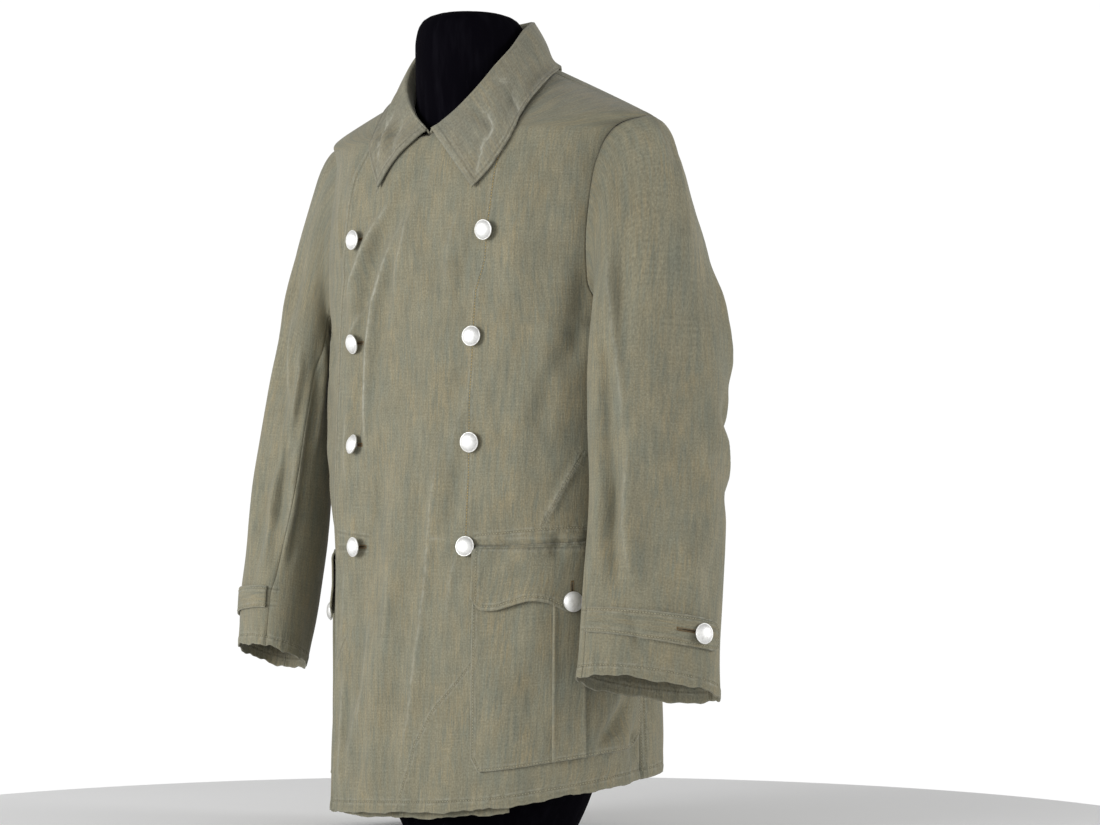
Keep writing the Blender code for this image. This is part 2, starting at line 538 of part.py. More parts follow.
def build_pocket(name, side):
    """Patch pocket with a box pleat. Its lower corners are cut off, where they show."""
    pleat_start, pleat_end = PLEAT_DEG
    columns = LEFT_POCKET_DEGS if side > 0 else RIGHT_POCKET_DEGS
    plain = [deg for deg in columns if deg not in PLEAT_DEG]
    doubled = [deg + step for deg in PLEAT_DEG for step in (-PLEAT_SIDE_DEG, PLEAT_SIDE_DEG)]
    degs = np.sort(np.array(plain + doubled))
    raised = (degs > pleat_start) & (degs < pleat_end)
    rows = np.array(POCKET_ROWS)[:, None]
    points = front(degs[None, :], rows, side, POCKET_GAP + PLEAT_HEIGHT * raised[None, :])[0]
    last = len(degs) - 2
    cuts = (((0, 0), "start"), ((0, last), "end")) if side > 0 else (((0, 0), "start"),)
    sheet(name, facing_out(points, side), WALL, 1, cuts=cuts)


def build_flap(name, side):
    """Three-pointed flap, laid over the top of its pocket."""
    shares = np.array(FLAP_SHARES)[:, None]
    columns = LEFT_POCKET_DEGS if side > 0 else RIGHT_POCKET_DEGS
    degs = np.array(columns)[None, :]
    degs[0, -1] += FLAP_OVERHANG_DEG
    depth = column(FLAP_DEPTHS, FLAP_DEPTH_COLUMNS, "depth", degs)
    rows = FLAP_TOP_ROW - depth * shares
    lift = FLAP_GAP + FLAP_LIFT * smooth(0.0, FLAP_SHARES[2], shares) + 0.0 * degs
    points = front(np.broadcast_to(degs, rows.shape), rows, side, lift)[0]
    return sheet(name, facing_out(points[::-1], side), FLAP_WALL, 1)


def neck_to_edge(shares, side):
    """Collar profile at each share: the stand, the roll and the turned-down leaf."""
    seam, roll, edge = (
        np.stack([column(COLLAR_ROWS, COLLAR_COLUMNS, f"{part}_{axis}", shares) for axis in "xyz"], -1)
        * np.array([side * (RIGHT_LEAF_X if side < 0 and part == "edge" else 1.0), 1.0, 1.0])
        for part in ("seam", "roll", "edge")
    )
    outward = edge - roll
    outward[:, 2] = 0
    outward /= np.linalg.norm(outward, axis=1, keepdims=True)
    down = np.array([0.0, 0.0, -ROLL_RADIUS])
    stand_top = roll - outward * ROLL_RADIUS + down
    leaf_top = roll + outward * ROLL_RADIUS + down
    profile = [
        seam,
        (seam + stand_top) / 2 - outward * 0.0015,
        stand_top,
        roll,
        leaf_top,
        leaf_top * 0.67 + edge * 0.33 + outward * 0.0030,
        leaf_top * 0.33 + edge * 0.67 + outward * 0.0025,
        edge,
    ]
    return np.stack(profile)


def lift_clear(points, gap):
    """Moves points out to at least this gap over the outer face of the body's cloth."""
    rows, degs = np.meshgrid(np.linspace(*LEAF_ROWS), np.linspace(*LEAF_DEGS), indexing="ij")
    face = [front(degs, rows, 1), front(degs, rows, -1), body(degs, rows, 1, True), body(degs, rows, -1, True)]
    below = rows[:, 0] < THROAT_ROW
    face.append(front(-degs[below] * LAP_SHARE, rows[below], 1))
    cloud = np.concatenate([points_out.reshape(-1, 3) for points_out, _ in face])
    normals = np.concatenate([normal.reshape(-1, 3) for _, normal in face])
    flat = points.reshape(-1, 3).copy()
    for k, point in enumerate(flat):
        nearest = int(np.argmin(((cloud - point) ** 2).sum(1)))
        height = float((point - cloud[nearest]) @ normals[nearest])
        if height < gap:
            flat[k] = point + normals[nearest] * (gap - height)
    return flat.reshape(points.shape)


def build_collar():
    shares = np.linspace(0, 1, COLLAR_STEPS + 1)
    left = neck_to_edge(shares, 1)
    right = neck_to_edge(shares[1:], -1)
    leaf = slice(3, 8)
    left[leaf] = lift_clear(left[leaf], COLLAR_CLEARANCE)
    right[leaf] = lift_clear(right[leaf], COLLAR_CLEARANCE)
    points = np.concatenate([right[:, ::-1], left], axis=1)
    collar = sheet("collar", points, COLLAR_WALL, 0)
    collar.modifiers["wall"].use_even_offset = False


def build_button(name, point, normal):
    """Domed button on its shank, turned about its own axis by a Screw modifier."""
    r = BUTTON_RADIUS
    profile = (
        (0.0, 0.0), (0.30 * r, 0.0), (0.30 * r, 0.0036), (0.90 * r, 0.0040), (r, 0.0049),
        (0.94 * r, 0.0062), (0.62 * r, 0.0084), (0.0, 0.0094),
    )
    mesh = bpy.data.meshes.new(name)
    edges = [(k, k + 1) for k in range(len(profile) - 1)]
    mesh.from_pydata([(x, 0.0, z) for x, z in profile], edges, [])
    obj = place(name, mesh, metal)
    turn = obj.modifiers.new("turn", "SCREW")
    turn.steps = BUTTON_SEGMENTS
    turn.render_steps = BUTTON_SEGMENTS
    turn.use_merge_vertices = True
    turn.merge_threshold = 0.00001
    turn.use_smooth_shade = True
    turn.use_normal_calculate = True
    axis = Vector(normal).normalized()
    obj.rotation_mode = "QUATERNION"
    obj.rotation_quaternion = Vector((0, 0, 1)).rotation_difference(axis)
    obj.location = Vector(point) + axis * GAP


def front_point(x, z):
    """Point and normal on the left front at this x and height."""
    deg = float(deg_of_x(x, z))
    row = row_at_height(z, deg, 1)
    deg = float(deg_of_x(x, row))
    return front(np.array(deg), np.array(row), 1)


def on_sheet(obj, wall, point, normal):
    """The spot straight under this point on the facets of a sheet, wall metres out from its mesh."""
    corners = [corner.co for corner in obj.data.vertices]
    tree = BVHTree.FromPolygons(corners, [face.vertices for face in obj.data.polygons])
    out = Vector(normal)
    hit, facing, _, _ = tree.ray_cast(Vector(point) + out * SEAT_REACH, -out)
    return hit + facing * wall, facing


def ring_solid(name, rings, centre_y, exponent):
    """Closed loft through horizontal rings, given as z, half width, front and back depth."""
    build = bmesh.new()
    loops = []
    for z, half_width, front_depth, back_depth in rings:
        loop = []
        for k in range(FORM_SEGMENTS):
            angle = 2 * math.pi * k / FORM_SEGMENTS
            c, s = math.cos(angle), math.sin(angle)
            depth = front_depth if c > 0 else back_depth
            x = half_width * math.copysign(abs(s) ** exponent, s)
            y = centre_y - depth * math.copysign(abs(c) ** exponent, c)
            loop.append(build.verts.new((x, y, z)))
        loops.append(loop)
    for low, high in zip(loops, loops[1:]):
        for k in range(FORM_SEGMENTS):
            n = (k + 1) % FORM_SEGMENTS
            build.faces.new((low[k], low[n], high[n], high[k]))
    build.faces.new(loops[0][::-1])
    build.faces.new(loops[-1])
    mesh = bpy.data.meshes.new(name)
    build.to_mesh(mesh)
    build.free()
    return mesh


def build_form():
    form = place("dress_form", ring_solid("dress_form", FORM_BODY, 0.0, 0.93), black)
    neck = bpy.data.objects.new("neck_of_form", ring_solid("neck_of_form", FORM_NECK, FORM_NECK_CENTRE_Y, 1.0))
    neck.hide_render = True
    neck.display_type = "WIRE"
    helpers.objects.link(neck)
    join = form.modifiers.new("neck", "BOOLEAN")
    join.operation = "UNION"
    join.solver = "EXACT"
    join.object = neck


left_front = build_front("left_front", 1)
build_front("right_front", -1)
build_back()
build_collar()
for side, label in ((1, "left"), (-1, "right")):
    build_sleeve(f"upper_sleeve_{label}", side, FRONT_SEAM_SHARE, REAR_SEAM_SHARE)
    build_sleeve(f"under_sleeve_{label}", side, REAR_SEAM_SHARE, 1 + FRONT_SEAM_SHARE)
    strap = build_strap(f"cuff_strap_{label}", side)
    build_pocket(f"pocket_{label}", side)
    flap = build_flap(f"pocket_flap_{label}", side)
    deg, row = FLAP_BUTTON
    flap_spot = front(np.array(deg), np.array(row), side)
    build_button(f"pocket_button_{label}", *on_sheet(flap, FLAP_WALL, *flap_spot))
    share, along = CUFF_BUTTON
    cuff_spot = sleeve(np.array(share), np.array(1 + along), side)
    build_button(f"cuff_button_{label}", *on_sheet(strap, FLAP_WALL, *cuff_spot))
for number, (z, left_x, right_x) in enumerate(FRONT_BUTTONS, 1):
    build_button(f"front_button_left_{number}", *on_sheet(left_front, 0.0, *front_point(left_x, z)))
    build_button(f"front_button_right_{number}", *on_sheet(left_front, 0.0, *front_point(right_x, z)))
build_form()
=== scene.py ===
# %% [markdown]
# A double-breasted uniform jacket of melange drill, buttoned up on a black dress form.
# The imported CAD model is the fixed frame. Each cloth panel is made again as a fine thin shell on the
# same surface as its solid, with the small creases, the sewing and the woven look that a solid can't hold.

# %% Load the frame
import math

import bmesh
import bpy
import numpy as np
from mathutils import Matrix, Vector
from mathutils.kdtree import KDTree


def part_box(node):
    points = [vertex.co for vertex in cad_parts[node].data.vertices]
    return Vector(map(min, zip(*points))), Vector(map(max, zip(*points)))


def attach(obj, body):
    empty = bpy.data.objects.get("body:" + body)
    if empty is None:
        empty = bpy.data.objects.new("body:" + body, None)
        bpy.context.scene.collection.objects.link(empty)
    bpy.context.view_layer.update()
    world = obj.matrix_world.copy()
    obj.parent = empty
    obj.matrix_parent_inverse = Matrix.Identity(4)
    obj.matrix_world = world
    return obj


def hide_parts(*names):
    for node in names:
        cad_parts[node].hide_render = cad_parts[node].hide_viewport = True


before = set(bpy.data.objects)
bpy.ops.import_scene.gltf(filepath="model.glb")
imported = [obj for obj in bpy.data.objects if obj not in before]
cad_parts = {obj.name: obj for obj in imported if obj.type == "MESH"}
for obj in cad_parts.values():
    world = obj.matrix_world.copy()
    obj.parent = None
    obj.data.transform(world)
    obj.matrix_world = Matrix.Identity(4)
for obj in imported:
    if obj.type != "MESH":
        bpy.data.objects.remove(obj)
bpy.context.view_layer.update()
print("frame:", len(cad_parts), "solids")

# %% [markdown]
# The camera comes first, so that every later look is seen from the photographed side. It stands
# 3.2 m away at hip height. A long lens keeps the upright lines of the coat nearly parallel.

# %% Camera
CAMERA_AZIMUTH = math.radians(39.0)
CAMERA_DISTANCE = 3.2
CAMERA_HEIGHT = 0.31
LENS_MM = 97.4
YAW_OFF_AXIS = math.radians(1.155)  # the form stands a little left of the middle
SHIFT_UP = 0.1205  # the lens is level, and its frame is moved up to hold the whole coat

camera_data = bpy.data.cameras.new("camera")
camera_data.lens = LENS_MM
camera_data.sensor_width = 36.0
camera_data.shift_y = SHIFT_UP
camera = bpy.data.objects.new("camera", camera_data)
camera.location = (
    CAMERA_DISTANCE * math.sin(CAMERA_AZIMUTH),
    -CAMERA_DISTANCE * math.cos(CAMERA_AZIMUTH),
    CAMERA_HEIGHT,
)
camera.rotation_euler = (math.pi / 2, 0.0, CAMERA_AZIMUTH - YAW_OFF_AXIS)
bpy.context.scene.collection.objects.link(camera)
bpy.context.scene.camera = camera
print("camera at", [round(value, 3) for value in camera.location])

# %% [markdown]
# Sizes. These tables are the same measured sections as those of the solids: body rings from hem to
# shoulder, the hem's slope, the armhole, the sleeve's sections and the collar. All are in metres and degrees.

# %% Sizes of the garment
WALL = 0.0015
FLAP_WALL = 0.0022
COLLAR_WALL = 0.0022
GAP = 0.0003
ROUNDNESS = 0.85
HEM_BLEND = 0.40
OVERLAP_LIFT = WALL + 2 * GAP
THROAT_ROW = 0.76
SHOULDER_ROW = 0.87
ARMPIT_ROW = 0.53
SIDE_DEG = 94.0
SEAM_DEG = 0.03
SHOULDER_SEAM_HALF = 0.0002

TORSO_COLUMNS = ("row", "front_z", "side_z", "back_z", "half_width", "front_depth", "back_depth",
                 "front_neck_x", "back_neck_x", "front_edge_deg", "back_edge_deg")
TORSO_ROWS = (
    (0.000, 0.000, 0.000, 0.000, 0.1950, 0.1380, 0.1300, 0.000, 0.000, 94.0, 86.0),
    (0.150, 0.150, 0.150, 0.150, 0.1930, 0.1340, 0.1270, 0.000, 0.000, 94.0, 86.0),
    (0.300, 0.300, 0.300, 0.300, 0.1910, 0.1270, 0.1220, 0.000, 0.000, 94.0, 86.0),
    (0.420, 0.420, 0.420, 0.420, 0.1900, 0.1210, 0.1190, 0.000, 0.000, 94.0, 86.0),
    (0.530, 0.530, 0.530, 0.530, 0.1930, 0.1180, 0.1210, 0.000, 0.000, 94.0, 86.0),
    (0.545, 0.545, 0.545, 0.545, 0.1930, 0.1180, 0.1220, 0.000, 0.000, 76.0, 73.0),
    (0.580, 0.580, 0.580, 0.580, 0.1938, 0.1180, 0.1230, 0.000, 0.000, 63.5, 63.0),
    (0.620, 0.620, 0.620, 0.620, 0.1945, 0.1180, 0.1230, 0.000, 0.000, 62.0, 61.0),
    (0.660, 0.660, 0.660, 0.660, 0.1920, 0.1160, 0.1210, 0.000, 0.000, 64.0, 61.0),
    (0.700, 0.700, 0.700, 0.700, 0.1885, 0.1120, 0.1170, 0.000, 0.000, 68.0, 62.0),
    (0.730, 0.722, 0.722, 0.732, 0.1885, 0.1070, 0.1110, 0.000, 0.000, 72.0, 64.0),
    (0.760, 0.738, 0.738, 0.768, 0.1935, 0.1000, 0.0980, 0.000, 0.000, 75.4, 66.0),
    (0.780, 0.748, 0.7450, 0.792, 0.1995, 0.0900, 0.0850, 0.030, 0.000, 76.6, 68.0),
    (0.800, 0.768, 0.7485, 0.813, 0.2055, 0.0740, 0.0680, 0.050, 0.000, 76.9, 70.0),
    (0.820, 0.787, 0.7502, 0.828, 0.2108, 0.0560, 0.0530, 0.060, 0.006, 76.8, 73.0),
    (0.840, 0.803, 0.7512, 0.829, 0.2160, 0.0340, 0.0440, 0.066, 0.034, 76.2, 75.0),
    (0.860, 0.813, 0.7515, 0.8215, 0.2193, 0.0100, 0.0150, 0.0675, 0.063, 76.0, 76.0),
    (0.870, 0.815, 0.7513, 0.815, 0.2204, 0.0004, 0.0004, 0.0675, 0.0675, 76.0, 76.0),
)
HEM_COLUMNS = ("deg", "z")
HEM_ROWS = (
    (-180.0, 0.075), (-135.0, 0.051), (-95.0, 0.030), (-60.0, 0.023), (-20.0, 0.028),
    (24.0, 0.039), (55.0, 0.053), (88.0, 0.065), (120.0, 0.072), (180.0, 0.075),
)
UNDERLAP_DROP = 0.006
UNDERLAP_TUCK = 0.010
UNDERLAP_FADE = 0.11
EDGE_COLUMNS = ("row", "left_front_x", "right_front_x")
EDGE_ROWS = (
    (0.00, 0.1275, 0.118), (0.30, 0.1300, 0.108), (0.53, 0.1290, 0.104), (0.62, 0.119, 0.104),
    (0.66, 0.114, 0.100), (0.70, 0.106, 0.094), (0.73, 0.095, 0.086), (0.76, 0.086, 0.078),
)
ARMHOLE_COLUMNS = ("share", "row")
ARMHOLE_ROWS = (
    (0.000, 0.530), (0.070, 0.545), (0.142, 0.580), (0.206, 0.620), (0.270, 0.660),
    (0.335, 0.700), (0.400, 0.760), (0.430, 0.800), (0.464, 0.840), (0.500, 0.870),
)
ARMHOLE_CENTRE = (0.190, 0.0, 0.640)
SLEEVE_COLUMNS = ("along", "x", "y", "half_long", "half_short", "turn_deg", "mean_z", "front_rise", "inner_rise")
SLEEVE_ROWS = (
    (0.00, 0.2416, -0.0220, 0.0745, 0.0400, 38.0, 0.500, 0.000, 0.000),
    (0.16, 0.2462, -0.0300, 0.0735, 0.0400, 39.0, 0.446, 0.000, -0.002),
    (0.45, 0.2526, -0.0420, 0.0705, 0.0415, 41.0, 0.348, 0.004, -0.005),
    (0.75, 0.2550, -0.0550, 0.0715, 0.0420, 43.0, 0.247, 0.010, -0.009),
    (1.00, 0.2570, -0.0650, 0.0725, 0.0370, 45.0, 0.165, 0.011, -0.011),
)
RIGHT_CUFF_RISE = 0.022
LEAVE_DIRECTION = (1.0, 0.10, -0.42)
FRONT_SEAM_SHARE = 0.30
# Where the sleeve's front seam runs. Columns: place along the sleeve, share round it
FRONT_SEAM_ROWS = (
    (0.00, 0.110), (0.435, 0.135), (0.884, 0.190), (1.056, 0.208), (1.218, 0.219), (1.366, 0.226), (1.553, 0.243),
    (1.741, 0.272), (1.810, 0.292), (2.00, 0.300),
)
REAR_SEAM_SHARE = 0.82
COLLAR_COLUMNS = ("share", "seam_x", "seam_y", "seam_z", "roll_x", "roll_y", "roll_z", "edge_x", "edge_y", "edge_z")
COLLAR_ROWS = (
    (0.00, 0.0000, 0.0510, 0.8310, 0.0000, 0.0350, 0.8710, 0.0000, 0.0680, 0.8180),
    (0.20, 0.0300, 0.0440, 0.8310, 0.0330, 0.0270, 0.8705, 0.0430, 0.0560, 0.8170),
    (0.38, 0.0540, 0.0200, 0.8250, 0.0550, 0.0050, 0.8650, 0.0700, 0.0270, 0.8120),
    (0.50, 0.0640, -0.0040, 0.8170, 0.0650, -0.0170, 0.8560, 0.0920, -0.0040, 0.8030),
    (0.62, 0.0625, -0.0310, 0.8060, 0.0670, -0.0420, 0.8350, 0.1050, -0.0480, 0.7720),
    (0.75, 0.0555, -0.0570, 0.7860, 0.0585, -0.0700, 0.8050, 0.1070, -0.0800, 0.7410),
    (0.88, 0.0390, -0.0780, 0.7620, 0.0330, -0.0900, 0.7690, 0.0920, -0.1060, 0.7030),
    (1.00, 0.0060, -0.0900, 0.7370, 0.0035, -0.1010, 0.7450, 0.0700, -0.1160, 0.6790),
)
RIGHT_LEAF_COLUMNS = ("share", "x_scale", "rise")
RIGHT_LEAF_ROWS = (
    (0.00, 1.00, 0.000), (0.50, 0.96, 0.000), (0.62, 0.90, 0.000), (0.75, 0.81, 0.002), (0.88, 0.765, 0.006), (1.00, 0.84, 0.009),
)
ROLL_RADIUS = 0.0028
COLLAR_CLEARANCE = COLLAR_WALL / 2 + 0.0030
print("tables:", len(TORSO_ROWS), "body rings,", len(SLEEVE_ROWS), "sleeve sections")

# %% [markdown]
# Creases. Drill is stiff, so it breaks into long soft ridges and troughs where it hangs from the
# shoulders, pulls at the buttons and is pushed by the arms. Each is placed in its own size. A row
# gives the width of the crease, its height outwards and how worn its top is, then the places it runs through.

# %% Creases of the body and the sleeves
# Large folds that the solids have too. Columns: top_deg, top_z, bottom_deg, bottom_z, width_deg, height
BODY_FOLDS = (
    (-1.0, 0.42, -14.0, 0.06, 6.0, 0.0040),
    (-9.0, 0.40, -24.0, 0.05, 6.0, -0.0030),
    (-17.0, 0.67, -31.0, 0.52, 5.0, 0.0035),
    (-14.0, 0.64, -24.0, 0.47, 5.0, -0.0025),
    (-34.0, 0.50, -34.0, 0.03, 8.0, 0.0020),
    (-60.0, 0.33, -58.0, 0.00, 19.0, -0.0165),
    (16.0, 0.62, 12.0, 0.34, 7.0, -0.0025),
    (48.0, 0.55, 30.0, 0.33, 6.0, 0.0030),
    (97.0, 0.20, 92.0, 0.05, 5.0, -0.0050),
    (110.0, 0.42, 112.0, 0.07, 9.0, 0.0050),
    (150.0, 0.60, 146.0, 0.07, 12.0, 0.0050),
    (176.0, 0.55, 178.0, 0.07, 12.0, -0.0035),
    (-152.0, 0.62, -150.0, 0.07, 12.0, 0.0055),
    (-116.0, 0.40, -118.0, 0.05, 9.0, -0.0045),
)
FOLD_FADE = 0.05
# Columns: width, height, wear, then (degrees round the body, height above the floor) along the crease
BODY_CREASES = (
    (0.0060, 0.0020, 0.5, (7.7, 0.437), (5.5, 0.357), (3.9, 0.265), (2.1, 0.198), (-0.1, 0.118), (-2.2, 0.060)),
    (0.0100, -0.0016, 0.0, (3.5, 0.400), (0.5, 0.265), (-3.0, 0.120), (-5.5, 0.055)),
    (0.0080, 0.0014, 0.2, (16.8, 0.480), (12.1, 0.429), (9.9, 0.387)),
    (0.0058, 0.0024, 0.7, (-8.2, 0.677), (-17.0, 0.639), (-23.7, 0.600), (-32.7, 0.571)),
    (0.0050, 0.0026, 0.9, (-6.0, 0.646), (-12.0, 0.607), (-16.0, 0.567), (-18.4, 0.517), (-19.1, 0.456), (-20.0, 0.395)),
    (0.0090, -0.0022, 0.0, (-3.5, 0.650), (-8.5, 0.607), (-12.0, 0.567), (-14.0, 0.500), (-14.0, 0.440)),
    (0.0070, -0.0022, 0.0, (-9.5, 0.655), (-16.0, 0.615), (-21.5, 0.570), (-24.0, 0.520)),
    (0.0055, 0.0016, 0.4, (-2.2, 0.671), (-4.2, 0.629), (-6.2, 0.606), (-8.0, 0.570)),
    (0.0090, -0.0022, 0.0, (0.7, 0.739), (0.5, 0.712), (-5.6, 0.672), (-10.6, 0.621)),
    (0.0110, 0.0022, 0.2, (-18.5, 0.155), (-21.5, 0.110), (-25.5, 0.075)),
    (0.0090, 0.0016, 0.1, (-9.0, 0.115), (-10.5, 0.080), (-12.0, 0.045)),
    (0.0080, -0.0032, 0.0, (89.0, 0.160), (78.9, 0.128), (71.5, 0.110), (67.0, 0.100)),
    (0.0090, 0.0026, 0.1, (88.0, 0.128), (80.0, 0.106), (73.0, 0.096)),
    (0.0060, -0.0024, 0.0, (87.0, 0.124), (89.5, 0.100), (91.0, 0.085)),
    (0.0130, -0.0020, 0.0, (61.6, 0.612), (61.0, 0.561), (57.6, 0.510), (46.3, 0.493)),
    (0.0130, -0.0016, 0.0, (46.5, 0.497), (45.5, 0.458), (42.5, 0.418)),
    (0.0042, 0.0010, 0.6, (60.8, 0.396), (55.0, 0.373), (46.1, 0.331)),
    (0.0070, -0.0014, 0.0, (53.0, 0.326), (52.0, 0.305), (51.5, 0.292)),
    (0.0070, -0.0014, 0.0, (66.0, 0.330), (67.0, 0.306), (67.5, 0.285)),
    (0.0070, 0.0010, 0.1, (33.0, 0.300), (33.5, 0.280), (33.0, 0.262)),
    (0.0140, 0.0014, 0.0, (30.0, 0.700), (33.0, 0.640), (31.0, 0.560)),
    (0.0140, -0.0014, 0.0, (42.0, 0.200), (44.0, 0.150), (40.0, 0.100)),
    (0.0120, 0.0012, 0.0, (30.0, 0.220), (28.0, 0.150), (30.0, 0.090)),
    (0.0060, 0.0018, 0.3, (-44.0, 0.690), (-40.0, 0.640), (-33.0, 0.600)),
    (0.0120, -0.0024, 0.0, (-62.0, 0.560), (-52.0, 0.520), (-44.0, 0.500)),
    (0.0130, 0.0024, 0.1, (-72.0, 0.520), (-60.0, 0.440), (-52.0, 0.380)),
    (0.0120, -0.0024, 0.0, (-84.0, 0.430), (-74.0, 0.330), (-70.0, 0.250)),
    (0.0110, 0.0026, 0.1, (96.0, 0.500), (108.0, 0.440), (118.0, 0.400)),
    (0.0120, -0.0026, 0.0, (100.0, 0.460), (112.0, 0.400), (126.0, 0.360)),
    (0.0120, 0.0024, 0.2, (128.0, 0.690), (134.0, 0.600), (136.0, 0.500)),
    (0.0110, -0.0024, 0.0, (140.0, 0.700), (148.0, 0.620), (150.0, 0.520)),
    (0.0090, 0.0020, 0.3, (168.0, 0.640), (170.0, 0.560), (166.0, 0.470)),
    (0.0130, -0.0022, 0.0, (-160.0, 0.700), (-158.0, 0.600), (-164.0, 0.500)),
    (0.0110, 0.0024, 0.2, (-132.0, 0.680), (-136.0, 0.580), (-134.0, 0.480)),
    (0.0120, -0.0024, 0.0, (-104.0, 0.480), (-118.0, 0.420), (-130.0, 0.390)),
    (0.0110, 0.0022, 0.1, (-98.0, 0.440), (-110.0, 0.380), (-122.0, 0.350)),
    (0.0120, 0.0020, 0.1, (160.0, 0.330), (164.0, 0.220), (162.0, 0.120)),
    (0.0120, -0.0022, 0.0, (-140.0, 0.300), (-136.0, 0.200), (-138.0, 0.090)),
    (0.0110, 0.0020, 0.2, (-172.0, 0.300), (-168.0, 0.200), (-170.0, 0.100)),
    (0.0035, 0.0010, 0.3, (6.0, 0.3160), (45.0, 0.3170), (69.0, 0.3185), (93.0, 0.3200), (110.0, 0.3210)),
    (0.0024, -0.0011, 0.0, (6.0, 0.3065), (45.0, 0.3072), (69.0, 0.3090), (93.0, 0.3110), (110.0, 0.3120)),
    (0.0042, 0.0012, 0.4, (-27.0, 0.190), (-29.0, 0.130), (-30.0, 0.070), (-29.0, 0.035)),
    (0.0050, -0.0014, 0.0, (-24.0, 0.210), (-25.5, 0.140), (-27.0, 0.080)),
    (0.0045, 0.0012, 0.3, (-14.0, 0.240), (-17.0, 0.170), (-18.5, 0.110)),
    (0.0040, 0.0010, 0.3, (-31.0, 0.300), (-30.5, 0.240), (-31.5, 0.190)),
    (0.0040, 0.0010, 0.5, (-30.5, 0.460), (-31.0, 0.420), (-30.0, 0.370)),
    (0.0036, 0.0010, 0.4, (-22.0, 0.560), (-27.0, 0.540), (-31.0, 0.528)),
    (0.0050, -0.0014, 0.0, (-20.0, 0.500), (-24.0, 0.470), (-27.0, 0.430)),
    (0.0055, -0.0012, 0.0, (-11.0, 0.430), (-12.0, 0.380), (-13.0, 0.330)),
    (0.0050, 0.0012, 0.2, (-5.0, 0.300), (-6.0, 0.240), (-8.0, 0.180)),
    (0.0055, -0.0014, 0.0, (6.5, 0.330), (5.5, 0.260), (3.5, 0.190)),
    (0.0045, -0.0012, 0.0, (17.5, 0.635), (14.0, 0.600), (12.0, 0.550)),
    (0.0050, 0.0012, 0.2, (12.0, 0.660), (9.0, 0.620), (8.0, 0.570)),
    (0.0050, -0.0013, 0.0, (15.5, 0.412), (12.5, 0.370), (11.5, 0.320)),
    (0.0040, 0.0009, 0.3, (14.5, 0.305), (12.0, 0.270), (11.0, 0.230)),
)
# Large folds of the sleeve. Columns: share, top_v, bottom_v, width, height
SLEEVE_FOLDS = (
    (0.375, 0.60, 1.75, 0.028, -0.0040),
    (0.425, 0.60, 1.65, 0.032, 0.0030),
    (0.62, 1.05, 1.60, 0.045, 0.0025),
    (0.88, 0.95, 1.50, 0.040, -0.0030),
    (0.07, 1.10, 1.70, 0.045, 0.0030),
)
# Columns: sleeve (0 both, 1 left, -1 right), width, height, wear, then (share round, place along) points
SLEEVE_CREASES = (
    (1, 0.0080, 0.0030, 0.4, (0.325, 0.45), (0.336, 0.65), (0.358, 0.90), (0.385, 1.14), (0.392, 1.25)),
    (1, 0.0100, -0.0034, 0.0, (0.331, 0.72), (0.345, 1.10), (0.345, 1.35), (0.352, 1.50), (0.350, 1.66)),
    (1, 0.0085, -0.0034, 0.0, (0.384, 1.26), (0.371, 1.44), (0.378, 1.55), (0.392, 1.64), (0.408, 1.745), (0.436, 1.775)),
    (1, 0.0085, 0.0030, 0.3, (0.405, 1.24), (0.396, 1.42), (0.400, 1.54), (0.416, 1.64), (0.432, 1.72)),
    (1, 0.0080, 0.0016, 0.2, (0.585, 1.27), (0.600, 1.34), (0.615, 1.42)),
    (1, 0.0060, 0.0018, 0.4, (0.462, 0.05), (0.472, 0.20), (0.488, 0.36)),
    (1, 0.0130, -0.0018, 0.0, (0.520, 0.60), (0.530, 0.90), (0.520, 1.20)),
    (1, 0.0110, 0.0016, 0.1, (0.470, 1.00), (0.465, 1.25), (0.470, 1.50)),
    (1, 0.0060, -0.0016, 0.0, (0.420, 1.790), (0.445, 1.835), (0.470, 1.930)),
    (-1, 0.0075, 0.0026, 0.4, (0.391, 0.69), (0.345, 0.90), (0.300, 1.10)),
    (-1, 0.0070, 0.0022, 0.3, (0.205, 0.95), (0.215, 1.20), (0.222, 1.45), (0.235, 1.68)),
    (-1, 0.0065, -0.0022, 0.0, (0.182, 0.90), (0.190, 1.20), (0.200, 1.50), (0.222, 1.75)),
    (-1, 0.0060, 0.0020, 0.4, (0.290, 0.80), (0.270, 1.00), (0.268, 1.22)),
    (-1, 0.0065, -0.0022, 0.0, (0.300, 1.15), (0.280, 1.35), (0.285, 1.60)),
    (-1, 0.0070, 0.0020, 0.2, (0.310, 1.30), (0.320, 1.50), (0.325, 1.72)),
    (-1, 0.0070, 0.0022, 0.3, (0.160, 0.60), (0.170, 0.85), (0.160, 1.10), (0.165, 1.35)),
    (-1, 0.0100, -0.0026, 0.0, (0.350, 0.80), (0.330, 1.10), (0.325, 1.45)),
    (-1, 0.0100, 0.0024, 0.2, (0.250, 1.20), (0.240, 1.45), (0.255, 1.70)),
    (0, 0.0100, 0.0026, 0.2, (0.660, 0.55), (0.700, 0.85), (0.750, 1.10)),
    (0, 0.0110, -0.0028, 0.0, (0.720, 0.60), (0.760, 0.90), (0.800, 1.10)),
    (0, 0.0100, -0.0026, 0.0, (0.640, 1.12), (0.720, 1.22), (0.800, 1.26)),
    (0, 0.0090, 0.0024, 0.2, (0.660, 1.20), (0.730, 1.32), (0.800, 1.38)),
    (0, 0.0100, -0.0024, 0.0, (0.700, 1.38), (0.780, 1.46), (0.860, 1.50)),
    (0, 0.0110, 0.0022, 0.1, (0.900, 1.10), (0.960, 1.35), (0.940, 1.60)),
    (0, 0.0110, 0.0018, 0.1, (0.560, 1.55), (0.580, 1.70), (0.570, 1.90)),
)
